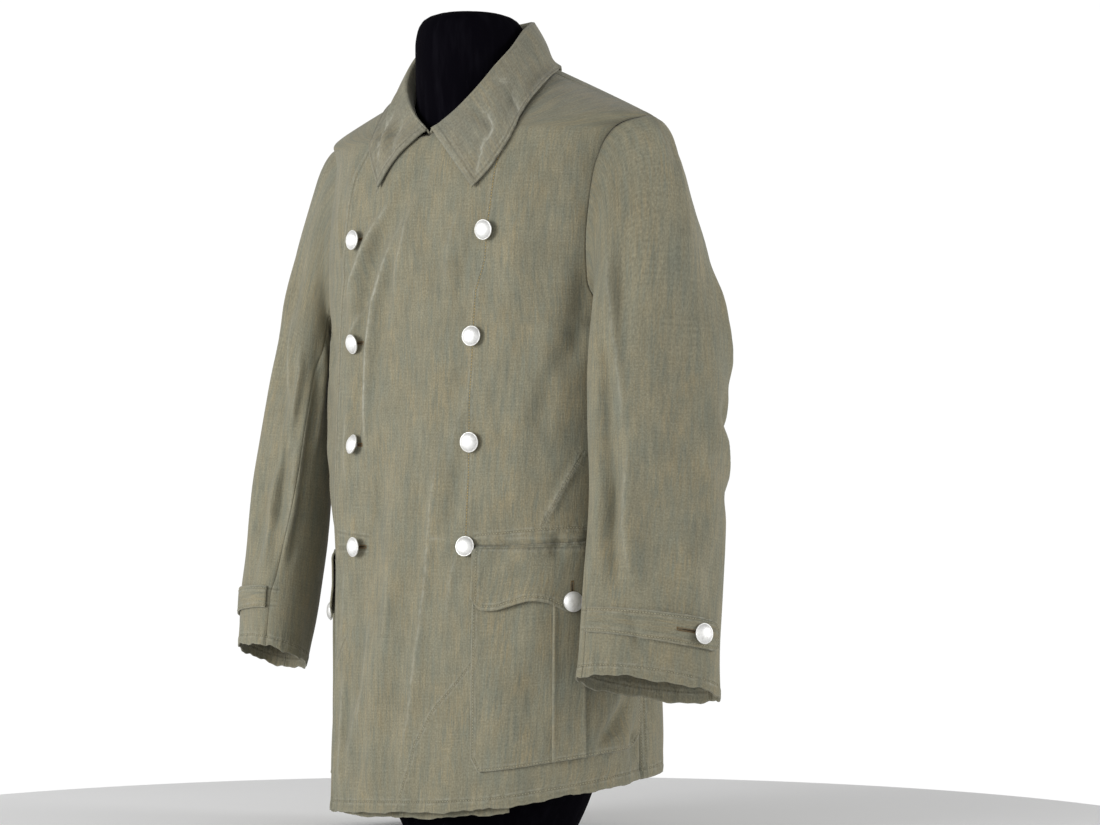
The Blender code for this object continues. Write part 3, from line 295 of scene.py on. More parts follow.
# Wear lines of the collar. Columns: side, width, height, wear, then (share, place across the leaf) points
COLLAR_CREASES = (
    (1, 0.0040, 0.0010, 1.0, (0.840, 0.12), (0.835, 0.41), (0.830, 0.63), (0.855, 0.71), (0.885, 0.68), (0.930, 0.81), (0.975, 0.95)),
    (1, 0.0040, 0.0009, 0.9, (0.725, 0.40), (0.735, 0.62), (0.730, 0.80), (0.730, 0.96)),
    (1, 0.0040, 0.0009, 0.6, (0.765, 0.05), (0.750, 0.14), (0.720, 0.34)),
    (1, 0.0090, -0.0012, 0.0, (0.600, 0.30), (0.660, 0.55), (0.700, 0.85)),
    (-1, 0.0040, 0.0012, 1.0, (0.800, 0.20), (0.830, 0.50), (0.850, 0.90)),
    (-1, 0.0050, 0.0012, 0.7, (0.700, 0.15), (0.760, 0.45), (0.930, 0.90)),
    (-1, 0.0070, -0.0012, 0.0, (0.720, 0.10), (0.800, 0.40), (0.950, 0.70)),
    (-1, 0.0050, 0.0010, 0.5, (0.860, 0.05), (0.900, 0.35), (0.985, 0.60)),
    (0, 0.0080, 0.0010, 0.3, (0.150, 0.20), (0.220, 0.55), (0.200, 0.90)),
)
BODY_METRES_PER_DEG = 0.00283
SLEEVE_GIRTH = 0.37
CAP_LENGTH = 0.17
TUBE_LENGTH = 0.335
print("creases:", len(BODY_CREASES), "on the body,", len(SLEEVE_CREASES), "on the sleeves")

# %% [markdown]
# The surfaces. One function gives the body's surface and one the sleeve's, so a pocket, a flap or a
# stitch that is asked for at the same place always lies on the cloth under it, creases and all.

# %% Reading a table smoothly
def monotone(rows, place, at):
    """Smooth reading of one column of a table by its first column, with no overshoot between rows."""
    x = np.array([row[0] for row in rows])
    y = np.array([row[place] for row in rows])
    width = np.diff(x)
    rise = np.diff(y) / width
    slope = np.zeros_like(y)
    left = 2 * width[1:] + width[:-1]
    right = width[1:] + 2 * width[:-1]
    with np.errstate(divide="ignore", invalid="ignore"):
        mean = (left + right) / (left / rise[:-1] + right / rise[1:])
    slope[1:-1] = np.where(rise[:-1] * rise[1:] > 0, mean, 0.0)
    slope[0] = rise[0]
    slope[-1] = rise[-1]
    at = np.clip(at, x[0], x[-1])
    k = np.clip(np.searchsorted(x, at, side="right") - 1, 0, len(x) - 2)
    t = (at - x[k]) / width[k]
    keep = (1 + 2 * t) * (1 - t) ** 2 * y[k] + t * t * (3 - 2 * t) * y[k + 1]
    return keep + width[k] * (t * (1 - t) ** 2 * slope[k] - t * t * (1 - t) * slope[k + 1])


def column(rows, names, name, at):
    return monotone(rows, names.index(name), np.asarray(at, float))


def torso_value(name, row):
    return column(TORSO_ROWS, TORSO_COLUMNS, name, row)


def power(value):
    return np.sign(value) * np.abs(value) ** ROUNDNESS


def smooth(low, high, value):
    t = np.clip((value - low) / (high - low), 0.0, 1.0)
    return t * t * (3 - 2 * t)


print("hem is", round(float(column(HEM_ROWS, HEM_COLUMNS, "z", 0.0)), 3), "m above the floor in front")

# %% Creases and the cloth's own unevenness
def crease_field(across, up, creases):
    """Height of the creases at places in metres, and how worn the nearest ones are. A crease is a path of places."""
    height = np.zeros_like(across)
    wear = np.zeros_like(across)
    for width, rise, worn, path in creases:
        lengths = np.linalg.norm(np.diff(path, axis=0), axis=1)
        whole = lengths.sum()
        nearest = np.full_like(across, 1e9)
        signed = np.zeros_like(across)
        share = np.zeros_like(across)
        done = 0.0
        for start, end, length in zip(path[:-1], path[1:], lengths):
            line = (end - start) / length
            dx = across - start[0]
            dy = up - start[1]
            along = np.clip(dx * line[0] + dy * line[1], 0, length)
            off_x = dx - along * line[0]
            off_y = dy - along * line[1]
            away = np.hypot(off_x, off_y)
            closer = away < nearest
            nearest = np.where(closer, away, nearest)
            signed = np.where(closer, np.copysign(away, off_x * line[1] - off_y * line[0]), signed)
            share = np.where(closer, (done + along) / whole, share)
            done += length
        ends = smooth(-0.02, 0.30, share) * (1 - smooth(0.72, 1.02, share))
        shoulder = np.exp(-(((signed - 1.9 * width) / (1.5 * width)) ** 2))
        height += CREASE_STRENGTH * rise * ends * (np.exp(-((nearest / width) ** 2)) - 0.35 * shoulder)
        wear += WEAR_STRENGTH * worn * ends * np.exp(-((nearest / 0.010) ** 2))
    return height, wear


WEAR_STRENGTH = 1.0
CREASE_STRENGTH = 2.0
RUMPLE_WAVES = 22
RUMPLE_SHORTEST = 0.030
RUMPLE_LONGEST = 0.20
RUMPLE_HEIGHT = 0.00055


def rumple(points, seed):
    """Slow, shallow waves of cloth, mostly upright ones, from a fixed seed."""
    random = np.random.default_rng(seed)
    total = np.zeros(points.shape[:-1])
    for _ in range(RUMPLE_WAVES):
        length = RUMPLE_SHORTEST * (RUMPLE_LONGEST / RUMPLE_SHORTEST) ** random.random()
        heading = random.uniform(0, 2 * math.pi)
        wave = np.array([math.cos(heading), math.sin(heading), random.uniform(-0.35, 0.35)]) / length
        total += math.sqrt(length / RUMPLE_LONGEST) * np.sin(2 * math.pi * (points @ wave) + random.uniform(0, 6.28))
    return total * RUMPLE_HEIGHT


body_crease_paths = [
    (width, rise, worn, np.array(path) * (BODY_METRES_PER_DEG, 1.0)) for width, rise, worn, *path in BODY_CREASES
]
print("rumple seed test:", rumple(np.zeros((1, 3)), 1).round(5))

# %% The body's surface
def ring_point(deg, row, side, back):
    """Point of the bare body surface. deg counts from the front centre, or from the back centre."""
    deg, row = np.broadcast_arrays(np.asarray(deg, float), np.asarray(row, float))
    angle = np.radians(deg)
    face = "back" if back else "front"
    across = power(np.sin(angle))
    along = power(np.cos(angle))
    neck = torso_value(face + "_neck_x", row)
    x = neck * (1 - across) + torso_value("half_width", row) * across
    own = torso_value(face + "_depth", row)
    other = torso_value("front_depth" if back else "back_depth", row)
    y = np.where(along > 0, np.maximum(own * along, SHOULDER_SEAM_HALF), other * along) * (1 if back else -1)
    edge = power(np.sin(np.radians(torso_value(face + "_edge_deg", row))))
    start_z = torso_value(face + "_z", row)
    z = start_z + (torso_value("side_z", row) - start_z) * np.clip(across / edge, 0, 1)
    round_deg = side * (180 - deg if back else deg)
    round_deg = (round_deg + 180) % 360 - 180
    hem = column(HEM_ROWS, HEM_COLUMNS, "z", round_deg)
    return np.stack([side * x, y, z + hem * np.clip(1 - row / HEM_BLEND, 0, 1)], -1), round_deg


def fold_height(round_deg, z):
    total = np.zeros_like(z)
    for top_deg, top_z, bottom_deg, bottom_z, width_deg, height in BODY_FOLDS:
        share = (z - bottom_z) / (top_z - bottom_z)
        middle = bottom_deg + (top_deg - bottom_deg) * np.clip(share, -0.2, 1.2)
        away = ((round_deg - middle + 180) % 360 - 180) / width_deg
        ends = smooth(bottom_z - FOLD_FADE, bottom_z + FOLD_FADE, z)
        ends = ends * (1 - smooth(top_z - FOLD_FADE, top_z + FOLD_FADE, z))
        total = total + height * ends * np.exp(-away * away)
    return total


def body(deg, row, side=1, back=False, lift=0.0):
    """Body surface with folds and creases, lift metres out. Returns points, normals and wear."""
    step = 0.05
    high = np.minimum(row + 0.0005, SHOULDER_ROW)
    low = np.maximum(high - 0.001, 0.0)
    across = ring_point(deg + step, row, side, back)[0] - ring_point(deg - step, row, side, back)[0]
    up = ring_point(deg, high, side, back)[0] - ring_point(deg, low, side, back)[0]
    normal = np.cross(across, up) * (side * (-1 if back else 1))
    normal /= np.linalg.norm(normal, axis=-1, keepdims=True)
    point, round_deg = ring_point(deg, row, side, back)
    crease, wear = crease_field(round_deg * BODY_METRES_PER_DEG, point[..., 2], body_crease_paths)
    calm = 1 - smooth(0.74, 0.80, np.asarray(row, float))
    out = lift + fold_height(round_deg, point[..., 2]) + crease + rumple(point, 5) * calm
    return point + normal * out[..., None], normal, wear


def front(deg, row, side, lift=0.0):
    """A front's surface. The left one lies over the right one and comes down to it at its side."""
    over = OVERLAP_LIFT * (1 - smooth(60.0, 90.0, np.asarray(deg, float))) if side > 0 else 0.0
    return body(deg, row, side, False, lift + over)


def deg_of_x(x, row):
    share = abs(x) / torso_value("half_width", row)
    return np.sign(x) * np.degrees(np.arcsin(share ** (1 / ROUNDNESS)))


def free_edge(row, side):
    """Angle past the centre at which this front ends."""
    name = "left_front_x" if side > 0 else "right_front_x"
    row = np.minimum(row, THROAT_ROW)
    return deg_of_x(column(EDGE_ROWS, EDGE_COLUMNS, name, row), row)


def row_at(z, deg, side=1):
    """Panel row, below the throat, that passes through this height."""
    hem = column(HEM_ROWS, HEM_COLUMNS, "z", side * np.asarray(deg, float))
    return np.where(z < HEM_BLEND, (z - hem) / (1 - hem / HEM_BLEND), z)


print("girth at the hem:", round(float(np.linalg.norm(np.diff(ring_point(np.linspace(0, 360, 400), 0.0, 1, False)[0],
                                                             axis=0), axis=1).sum()), 3), "m")

# %% The sleeve's surface
def armhole(share, side):
    is_back = share > 0.5
    row = column(ARMHOLE_ROWS, ARMHOLE_COLUMNS, "row", np.where(is_back, 1 - share, share))
    front_point, front_normal, _ = front(torso_value("front_edge_deg", row), row, side)
    back_point, back_normal, _ = body(torso_value("back_edge_deg", row), row, side, True)
    pick = is_back[..., None]
    return np.where(pick, back_point, front_point), np.where(pick, back_normal, front_normal)


def tube(share, along, side):
    turn = np.radians(column(SLEEVE_ROWS, SLEEVE_COLUMNS, "turn_deg", along))
    angle = 2 * math.pi * share
    forward = column(SLEEVE_ROWS, SLEEVE_COLUMNS, "half_long", along) * np.sin(angle)
    outward = -column(SLEEVE_ROWS, SLEEVE_COLUMNS, "half_short", along) * np.cos(angle)
    x = column(SLEEVE_ROWS, SLEEVE_COLUMNS, "x", along) - np.sin(turn) * forward + np.cos(turn) * outward
    y = column(SLEEVE_ROWS, SLEEVE_COLUMNS, "y", along) - np.cos(turn) * forward - np.sin(turn) * outward
    z = column(SLEEVE_ROWS, SLEEVE_COLUMNS, "mean_z", along)
    z = z + column(SLEEVE_ROWS, SLEEVE_COLUMNS, "front_rise", along) * np.sin(angle)
    z = z + column(SLEEVE_ROWS, SLEEVE_COLUMNS, "inner_rise", along) * np.cos(angle)
    if side < 0:
        z = z + RIGHT_CUFF_RISE * along
    return np.stack([side * x, y, z], -1)


def sleeve_base(share, v, side):
    """Sleeve point: v runs 0 to 1 from the armhole over the head, then 1 to 2 down to the cuff."""
    share, v = np.broadcast_arrays(np.asarray(share, float) % 1.0, np.asarray(v, float))
    start, normal = armhole(share, side)
    into_hole = np.array(ARMHOLE_CENTRE) * (side, 1, 1) - start
    into_hole = into_hole - normal * (into_hole * normal).sum(-1, keepdims=True)
    into_hole /= np.linalg.norm(into_hole, axis=-1, keepdims=True)
    start = start + into_hole * GAP
    end = tube(share, np.zeros_like(share), side)
    down = tube(share, np.full_like(share, 0.02), side) - end
    down /= np.linalg.norm(down, axis=-1, keepdims=True)
    reach = np.linalg.norm(end - start, axis=-1)
    out, sideways, fall = LEAVE_DIRECTION
    low = 0.5 + 0.5 * np.cos(2 * math.pi * share)
    leave = np.stack([side * out + 0 * low, sideways * np.sin(2 * math.pi * share), fall - 0.5 * low], -1)
    leave = leave * (0.02 + (0.48 - 0.20 * np.sin(2 * math.pi * share)) * reach)[..., None]
    arrive = down * (0.02 + 0.85 * reach)[..., None]
    t = np.clip(v, 0, 1)[..., None]
    cap = ((1 + 2 * t) * (1 - t) ** 2 * start + t * (1 - t) ** 2 * leave
           + t * t * (3 - 2 * t) * end - t * t * (1 - t) * arrive)
    return np.where((v > 1)[..., None], tube(share, np.clip(v - 1, 0, 1), side), cap)


def sleeve_metres(share, v):
    """Flat place of a sleeve point, in metres round and along."""
    return share * SLEEVE_GIRTH, np.where(v < 1, v * CAP_LENGTH, CAP_LENGTH + (v - 1) * TUBE_LENGTH)


HEAD_EASE_RIPPLES = 46
HEAD_EASE_HEIGHT = 0.0005


def sleeve(share, v, side, lift=0.0):
    """Sleeve surface with folds and creases, lift metres out. Returns points, normals and wear."""
    share, v = np.broadcast_arrays(np.asarray(share, float), np.asarray(v, float))
    step = 0.002
    round_step = sleeve_base(share + step, v, side) - sleeve_base(share - step, v, side)
    high = np.minimum(v + 0.004, 2.0)
    low = np.maximum(high - 0.008, 0.0)
    normal = np.cross(sleeve_base(share, high, side) - sleeve_base(share, low, side), round_step) * side
    normal /= np.linalg.norm(normal, axis=-1, keepdims=True)
    out = np.asarray(lift) + np.zeros_like(v)
    for middle, top_v, bottom_v, width, height in SLEEVE_FOLDS:
        away = ((share - middle + 0.5) % 1.0 - 0.5) / width
        ends = smooth(top_v - 0.15, top_v + 0.15, v) * (1 - smooth(bottom_v - 0.12, bottom_v + 0.12, v))
        out = out + height * ends * np.exp(-away * away)
    paths = []
    for which, width, rise, worn, *path in SLEEVE_CREASES:
        if which in (0, side):
            path = np.array(path)
            paths.append((width, rise, worn, np.stack(sleeve_metres(path[:, 0], path[:, 1]), -1)))
    across, along = sleeve_metres(share % 1.0, v)
    crease, wear = crease_field(across, along, paths)
    point = sleeve_base(share, v, side)
    settled = smooth(0.0, 0.25, v)
    ease = np.sin(2 * math.pi * share * HEAD_EASE_RIPPLES) * np.exp(-((v / 0.16) ** 2)) * smooth(0.0, 0.05, v)
    out = out + (crease + rumple(point, 8 + side)) * settled + HEAD_EASE_HEIGHT * ease
    return point + normal * out[..., None], normal, wear * settled


print("left cuff rim:", tube(np.array([0.25]), np.array([1.0]), 1).round(3))

# %% [markdown]
# Colours and finishes. The cloth is a melange: every yarn is spun from blue-grey, ochre and olive fibres,
# so up close it is speckled and from a step away it shows upright streaks. One node group makes that
# pattern from the cloth's own flat map in metres, and every drill material places it with its own values.

# %% The drill's pattern as a shader node group
def link(tree, source, target):
    tree.links.new(source, target)


def noise_node(tree, vector, scale_xyz, detail, name):
    """Noise stretched by a Mapping, read from the cloth's flat map."""
    mapping = tree.nodes.new("ShaderNodeMapping")
    mapping.inputs["Scale"].default_value = scale_xyz
    link(tree, vector, mapping.inputs["Vector"])
    noise = tree.nodes.new("ShaderNodeTexNoise")
    noise.name = name
    noise.inputs["Scale"].default_value = 1.0
    noise.inputs["Detail"].default_value = detail
    noise.inputs["Roughness"].default_value = 0.6
    link(tree, mapping.outputs["Vector"], noise.inputs["Vector"])
    return noise.outputs["Fac"]


def stretch(tree, value, low, high):
    """Map Range from low..high to 0..1, smoothly."""
    node = tree.nodes.new("ShaderNodeMapRange")
    node.interpolation_type = "SMOOTHSTEP"
    node.inputs["From Min"].default_value = low
    node.inputs["From Max"].default_value = high
    link(tree, value, node.inputs["Value"])
    return node.outputs["Result"]


def math_node(tree, operation, first, second):
    node = tree.nodes.new("ShaderNodeMath")
    node.operation = operation
    for socket, value in zip(node.inputs, (first, second)):
        if isinstance(value, (int, float)):
            socket.default_value = value
        else:
            link(tree, value, socket)
    return node.outputs[0]


def mix_colours(tree, share, first, second):
    node = tree.nodes.new("ShaderNodeMix")
    node.data_type = "RGBA"
    colour_sockets = [socket for socket in node.inputs if socket.type == "RGBA"]
    factor = next(socket for socket in node.inputs if socket.type == "VALUE")
    if isinstance(share, (int, float)):
        factor.default_value = share
    else:
        link(tree, share, factor)
    for socket, value in zip(colour_sockets, (first, second)):
        if isinstance(value, tuple):
            socket.default_value = value
        else:
            link(tree, value, socket)
    return next(socket for socket in node.outputs if socket.type == "RGBA")


def around_one(tree, noise, strength):
    """A brightness factor that swings round 1 with a noise whose middle is a half."""
    factor = math_node(tree, "MULTIPLY_ADD", noise, strength)
    factor.node.inputs[2].default_value = 1 - strength / 2
    return factor


def bell(tree, value, centre, width):
    """1 at centre, falling to nothing over a few widths."""
    away = math_node(tree, "DIVIDE", math_node(tree, "SUBTRACT", value, centre), width)
    squared = math_node(tree, "MULTIPLY", away, away)
    return math_node(tree, "EXPONENT", math_node(tree, "MULTIPLY", squared, -1.0), 0.0)


def build_seam_group():
    """The groove, the puckers, the rubbed ridge and a band of painted shade beside a line of stitching, from the
    distance to it.
    """
    tree = bpy.data.node_groups.new("seam_line", "ShaderNodeTree")
    tree.interface.new_socket("Seam map", in_out="INPUT", socket_type="NodeSocketVector")
    for name in ("Height", "Rubbed", "Painted shade"):
        tree.interface.new_socket(name, in_out="OUTPUT", socket_type="NodeSocketFloat")
    inside = tree.nodes.new("NodeGroupInput").outputs
    outside = tree.nodes.new("NodeGroupOutput").inputs
    parts = tree.nodes.new("ShaderNodeSeparateXYZ")
    link(tree, inside["Seam map"], parts.inputs[0])
    away = parts.outputs[0]
    pucker = noise_node(tree, inside["Seam map"], (90, 210, 1), 2, "puckers")
    breaks = stretch(tree, noise_node(tree, inside["Seam map"], (300, 120, 1), 3, "rub_breaks"), 0.35, 0.65)
    groove = math_node(tree, "MULTIPLY", bell(tree, away, 0.0, 0.0013), -0.45)
    gathered = math_node(tree, "MULTIPLY", bell(tree, away, 0.0, 0.0065), pucker)
    link(tree, math_node(tree, "ADD", groove, math_node(tree, "MULTIPLY", gathered, 2.2)), outside["Height"])
    ridges = math_node(tree, "ADD", bell(tree, away, 0.0024, 0.0012), bell(tree, away, -0.0024, 0.0012))
    link(tree, math_node(tree, "MULTIPLY", math_node(tree, "MULTIPLY", ridges, breaks), 0.42), outside["Rubbed"])
    # Painted shade: a narrow dark band along the seam's groove, which darkens the cloth's colour there.
    link(tree, bell(tree, away, 0.0, 0.0011), outside["Painted shade"])
    return tree


def build_ridge_group():
    """The rubbed top of a crease: a narrow pale core that wanders and breaks up, inside a broad faint one."""
    tree = bpy.data.node_groups.new("ridge_line", "ShaderNodeTree")
    tree.interface.new_socket("Ridge map", in_out="INPUT", socket_type="NodeSocketVector")
    tree.interface.new_socket("Rubbed", in_out="OUTPUT", socket_type="NodeSocketFloat")
    inside = tree.nodes.new("NodeGroupInput").outputs
    outside = tree.nodes.new("NodeGroupOutput").inputs
    parts = tree.nodes.new("ShaderNodeSeparateXYZ")
    link(tree, inside["Ridge map"], parts.inputs[0])
    wander = noise_node(tree, inside["Ridge map"], (0, 60, 1), 2, "wander")
    shifted = math_node(tree, "MULTIPLY_ADD", wander, 0.005)
    shifted.node.inputs[2].default_value = -0.0025
    away = math_node(tree, "ADD", parts.outputs[0], shifted)
    breaks = stretch(tree, noise_node(tree, inside["Ridge map"], (260, 70, 1), 4, "rub_breaks"), 0.25, 0.60)
    core = math_node(tree, "MULTIPLY", bell(tree, away, 0.0, 0.0013), breaks)
    broad = math_node(tree, "MULTIPLY", bell(tree, away, 0.0, 0.0042), 0.32)
    link(tree, math_node(tree, "ADD", core, broad), outside["Rubbed"])
    return tree


def build_melange_group():
    tree = bpy.data.node_groups.new("melange_drill", "ShaderNodeTree")
    for name, kind, value in (
        ("Flat map", "NodeSocketVector", None),
        ("Olive", "NodeSocketColor", (0.190, 0.178, 0.124, 1)),
        ("Blue grey", "NodeSocketColor", (0.139, 0.150, 0.120, 1)),
        ("Ochre", "NodeSocketColor", (0.237, 0.200, 0.122, 1)),
        ("Worn", "NodeSocketColor", (0.30, 0.295, 0.24, 1)),
        ("Streak strength", "NodeSocketFloat", 0.75),
        ("Wear", "NodeSocketFloat", 0.0),
    ):
        socket = tree.interface.new_socket(name, in_out="INPUT", socket_type=kind)
        if value is not None:
            socket.default_value = value
    for name, kind in (("Colour", "NodeSocketColor"), ("Roughness", "NodeSocketFloat"), ("Height", "NodeSocketFloat")):
        tree.interface.new_socket(name, in_out="OUTPUT", socket_type=kind)
    inside = tree.nodes.new("NodeGroupInput").outputs
    outside = tree.nodes.new("NodeGroupOutput").inputs
    flat = inside["Flat map"]
    # Fine upright streaks, then longer slubs, then broad mottling
    fine = stretch(tree, noise_node(tree, flat, (520, 46, 1), 3, "fine_streaks"), 0.36, 0.66)
    slub = stretch(tree, noise_node(tree, flat, (170, 20, 1), 4, "slubs"), 0.38, 0.66)
    mottle = stretch(tree, noise_node(tree, flat, (34, 15, 1), 4, "mottling"), 0.35, 0.68)
    weft = noise_node(tree, flat, (24, 620, 1), 2, "weft_threads")
    speckle = noise_node(tree, flat, (620, 480, 1), 2, "speckle")
    blue_share = math_node(tree, "MULTIPLY", math_node(tree, "MULTIPLY", slub, inside["Streak strength"]), 0.8)
    colour = mix_colours(tree, blue_share, inside["Olive"], inside["Blue grey"])
    ochre_share = math_node(tree, "MULTIPLY", math_node(tree, "MULTIPLY", fine, mottle), inside["Streak strength"])
    colour = mix_colours(tree, ochre_share, colour, inside["Ochre"])
    tone = around_one(tree, speckle, 0.95)
    weft_tone = around_one(tree, weft, 0.30)
    streak_tone = around_one(tree, noise_node(tree, flat, (300, 32, 1), 3, "streak_tone"), 0.50)
    cloud_tone = around_one(tree, noise_node(tree, flat, (34, 22, 1), 4, "cloud_tone"), 0.34)
    whole_tone = math_node(tree, "MULTIPLY", tone, weft_tone)
    whole_tone = math_node(tree, "MULTIPLY", whole_tone, math_node(tree, "MULTIPLY", streak_tone, cloud_tone))
    scale = tree.nodes.new("ShaderNodeVectorMath")
    scale.operation = "SCALE"
    link(tree, colour, scale.inputs[0])
    link(tree, whole_tone, scale.inputs["Scale"])
    patch = stretch(tree, noise_node(tree, flat, (160, 160, 1), 4, "wear_breaks"), 0.25, 0.62)
    worn = math_node(tree, "MULTIPLY", inside["Wear"], patch)
    worn.node.use_clamp = True
    colour = mix_colours(tree, worn, scale.outputs["Vector"], inside["Worn"])
    link(tree, colour, outside["Colour"])
    rough = math_node(tree, "MULTIPLY_ADD", speckle, 0.12)
    rough.node.inputs[2].default_value = 0.80
    link(tree, rough, outside["Roughness"])
    # Twill ribs: slanting lines 1.1 mm apart, broken up by the threads
    turn = tree.nodes.new("ShaderNodeMapping")
    turn.inputs["Rotation"].default_value = (0, 0, math.radians(58))
    link(tree, flat, turn.inputs["Vector"])
    ribs = tree.nodes.new("ShaderNodeTexWave")
    ribs.wave_type = "BANDS"
    ribs.inputs["Scale"].default_value = 290.0
    ribs.inputs["Distortion"].default_value = 1.2
    ribs.inputs["Detail"].default_value = 2.0
    link(tree, turn.outputs["Vector"], ribs.inputs["Vector"])
    height = math_node(tree, "ADD", math_node(tree, "MULTIPLY", ribs.outputs["Fac"], 0.5), fine)
    link(tree, math_node(tree, "ADD", height, weft), outside["Height"])
    return tree


melange = build_melange_group()
seam_line = build_seam_group()
ridge_line = build_ridge_group()
print("node group", melange.name, "with", len(melange.nodes), "nodes")

# %% Materials of cloth, thread, metal and form
def new_material(name, roughness=0.8, metallic=0.0, sheen=0.0):
    made = bpy.data.materials.new(name)
    made.use_nodes = True
    shader = made.node_tree.nodes["Principled BSDF"]
    shader.inputs["Roughness"].default_value = roughness
    shader.inputs["Metallic"].default_value = metallic
    shader.inputs["Sheen Weight"].default_value = sheen
    shader.inputs["Sheen Roughness"].default_value = 0.5
    shader.inputs["Specular IOR Level"].default_value = 0.12
    return made, made.node_tree, shader


def bump(tree, shader, height, distance, strength=1.0, under=None):
    node = tree.nodes.new("ShaderNodeBump")
    node.inputs["Distance"].default_value = distance
    node.inputs["Strength"].default_value = strength
    link(tree, height, node.inputs["Height"])
    if under:
        link(tree, under, node.inputs["Normal"])
    link(tree, node.outputs["Normal"], shader.inputs["Normal"])
    return node.outputs["Normal"]


def drill(name, streak=0.75, olive=None, blue=None):
    made, tree, shader = new_material(name, 0.85, sheen=0.12)
    group = tree.nodes.new("ShaderNodeGroup")
    group.node_tree = melange
    flat = tree.nodes.new("ShaderNodeUVMap")
    flat.uv_map = "flat_metres"
    ridge = tree.nodes.new("ShaderNodeGroup")
    ridge.node_tree = ridge_line
    ridge_map = tree.nodes.new("ShaderNodeUVMap")
    ridge_map.uv_map = "ridge_metres"
    link(tree, ridge_map.outputs["UV"], ridge.inputs["Ridge map"])
    ridge_wear, edge_wear = (tree.nodes.new("ShaderNodeAttribute") for _ in range(2))
    ridge_wear.attribute_name = "ridge_wear"
    edge_wear.attribute_name = "edge_wear"
    worn = math_node(tree, "MULTIPLY", ridge_wear.outputs["Fac"], ridge.outputs["Rubbed"])
    worn = math_node(tree, "ADD", worn, edge_wear.outputs["Fac"])
    seam = tree.nodes.new("ShaderNodeGroup")
    seam.node_tree = seam_line
    seam_map = tree.nodes.new("ShaderNodeUVMap")
    seam_map.uv_map = "seam_metres"
    link(tree, seam_map.outputs["UV"], seam.inputs["Seam map"])
    link(tree, flat.outputs["UV"], group.inputs["Flat map"])
    link(tree, math_node(tree, "ADD", worn, seam.outputs["Rubbed"]), group.inputs["Wear"])
    group.inputs["Streak strength"].default_value = streak
    if olive:
        group.inputs["Olive"].default_value = olive
    if blue:
        group.inputs["Blue grey"].default_value = blue
    # Painted shade: the cloth's colour is darkened along each seam, where the groove would lie in shade.
    painted_shade_scale = tree.nodes.new("ShaderNodeVectorMath")
    painted_shade_scale.operation = "SCALE"
    link(tree, group.outputs["Colour"], painted_shade_scale.inputs[0])
    shade = math_node(tree, "MULTIPLY_ADD", seam.outputs["Painted shade"], -0.16)
    shade.node.inputs[2].default_value = 1.0
    link(tree, shade, painted_shade_scale.inputs["Scale"])
    link(tree, painted_shade_scale.outputs["Vector"], shader.inputs["Base Color"])
    link(tree, group.outputs["Roughness"], shader.inputs["Roughness"])
    under = bump(tree, shader, seam.outputs["Height"], 0.0008)
    bump(tree, shader, group.outputs["Height"], 0.00022, 0.6, under)
    return made


drill_body = drill("melange_drill_body")
drill_collar = drill("melange_drill_collar", 0.55, (0.178, 0.169, 0.126, 1))
drill_patch = drill("melange_drill_pocket", 0.85)


def thread(name, colour):
    made, tree, shader = new_material(name, 0.6)
    where = tree.nodes.new("ShaderNodeTexCoord")
    twist = noise_node(tree, where.outputs["Object"], (900, 900, 900), 2, "twist")
    light = tuple(min(1.0, value * 1.25) for value in colour)
    link(tree, mix_colours(tree, twist, (*colour, 1), (*light, 1)), shader.inputs["Base Color"])
    bump(tree, shader, twist, 0.0001)
    return made


tan_thread = thread("tan_sewing_thread", (0.31, 0.29, 0.205))
ochre_thread = thread("ochre_sewing_thread", (0.40, 0.30, 0.13))
brown_thread = thread("brown_buttonhole_thread", (0.13, 0.08, 0.035))


def pebbled_metal():
    made, tree, shader = new_material("pebbled_aluminium", 0.5, metallic=0.55)
    where = tree.nodes.new("ShaderNodeTexCoord")
    cells = tree.nodes.new("ShaderNodeTexVoronoi")
    cells.feature = "SMOOTH_F1"
    cells.inputs["Scale"].default_value = 1300.0
    link(tree, where.outputs["Object"], cells.inputs["Vector"])
    grime = stretch(tree, noise_node(tree, where.outputs["Object"], (240, 240, 240), 4, "grime"), 0.42, 0.75)
    link(tree, mix_colours(tree, grime, (0.80, 0.80, 0.785, 1), (0.64, 0.63, 0.61, 1)), shader.inputs["Base Color"])
    rough = math_node(tree, "MULTIPLY_ADD", grime, 0.2)
    rough.node.inputs[2].default_value = 0.44
    link(tree, rough, shader.inputs["Roughness"])
    bump(tree, shader, cells.outputs["Distance"], 0.0002, 0.6)
    return made


button_metal = pebbled_metal()


def form_jersey():
    made, tree, shader = new_material("black_form_jersey", 0.95)
    shader.inputs["Specular IOR Level"].default_value = 0.02
    where = tree.nodes.new("ShaderNodeTexCoord")
    knit = noise_node(tree, where.outputs["Object"], (1400, 1400, 500), 2, "knit")
    lint = stretch(tree, noise_node(tree, where.outputs["Object"], (90, 90, 14), 3, "lint"), 0.45, 0.8)
    link(tree, mix_colours(tree, lint, (0.0018, 0.0015, 0.0028, 1), (0.0040, 0.0036, 0.0056, 1)), shader.inputs["Base Color"])
    bump(tree, shader, knit, 0.0003, 0.5)
    return made


form_cloth = form_jersey()
# Painted shadow: a dark strip laid in each buttonhole where the slit would be in shade.
slit_painted_shadow, slit_tree, slit_shader = new_material("buttonhole_shadow", 0.95)
slit_where = slit_tree.nodes.new("ShaderNodeTexCoord")
slit_noise = noise_node(slit_tree, slit_where.outputs["Object"], (800, 800, 800), 2, "fibres")
link(slit_tree, mix_colours(slit_tree, slit_noise, (0.020, 0.016, 0.010, 1), (0.050, 0.040, 0.026, 1)),
     slit_shader.inputs["Base Color"])
print("materials:", ", ".join(sorted(m.name for m in bpy.data.materials if m.name.startswith(("melange", "pebbled")))))

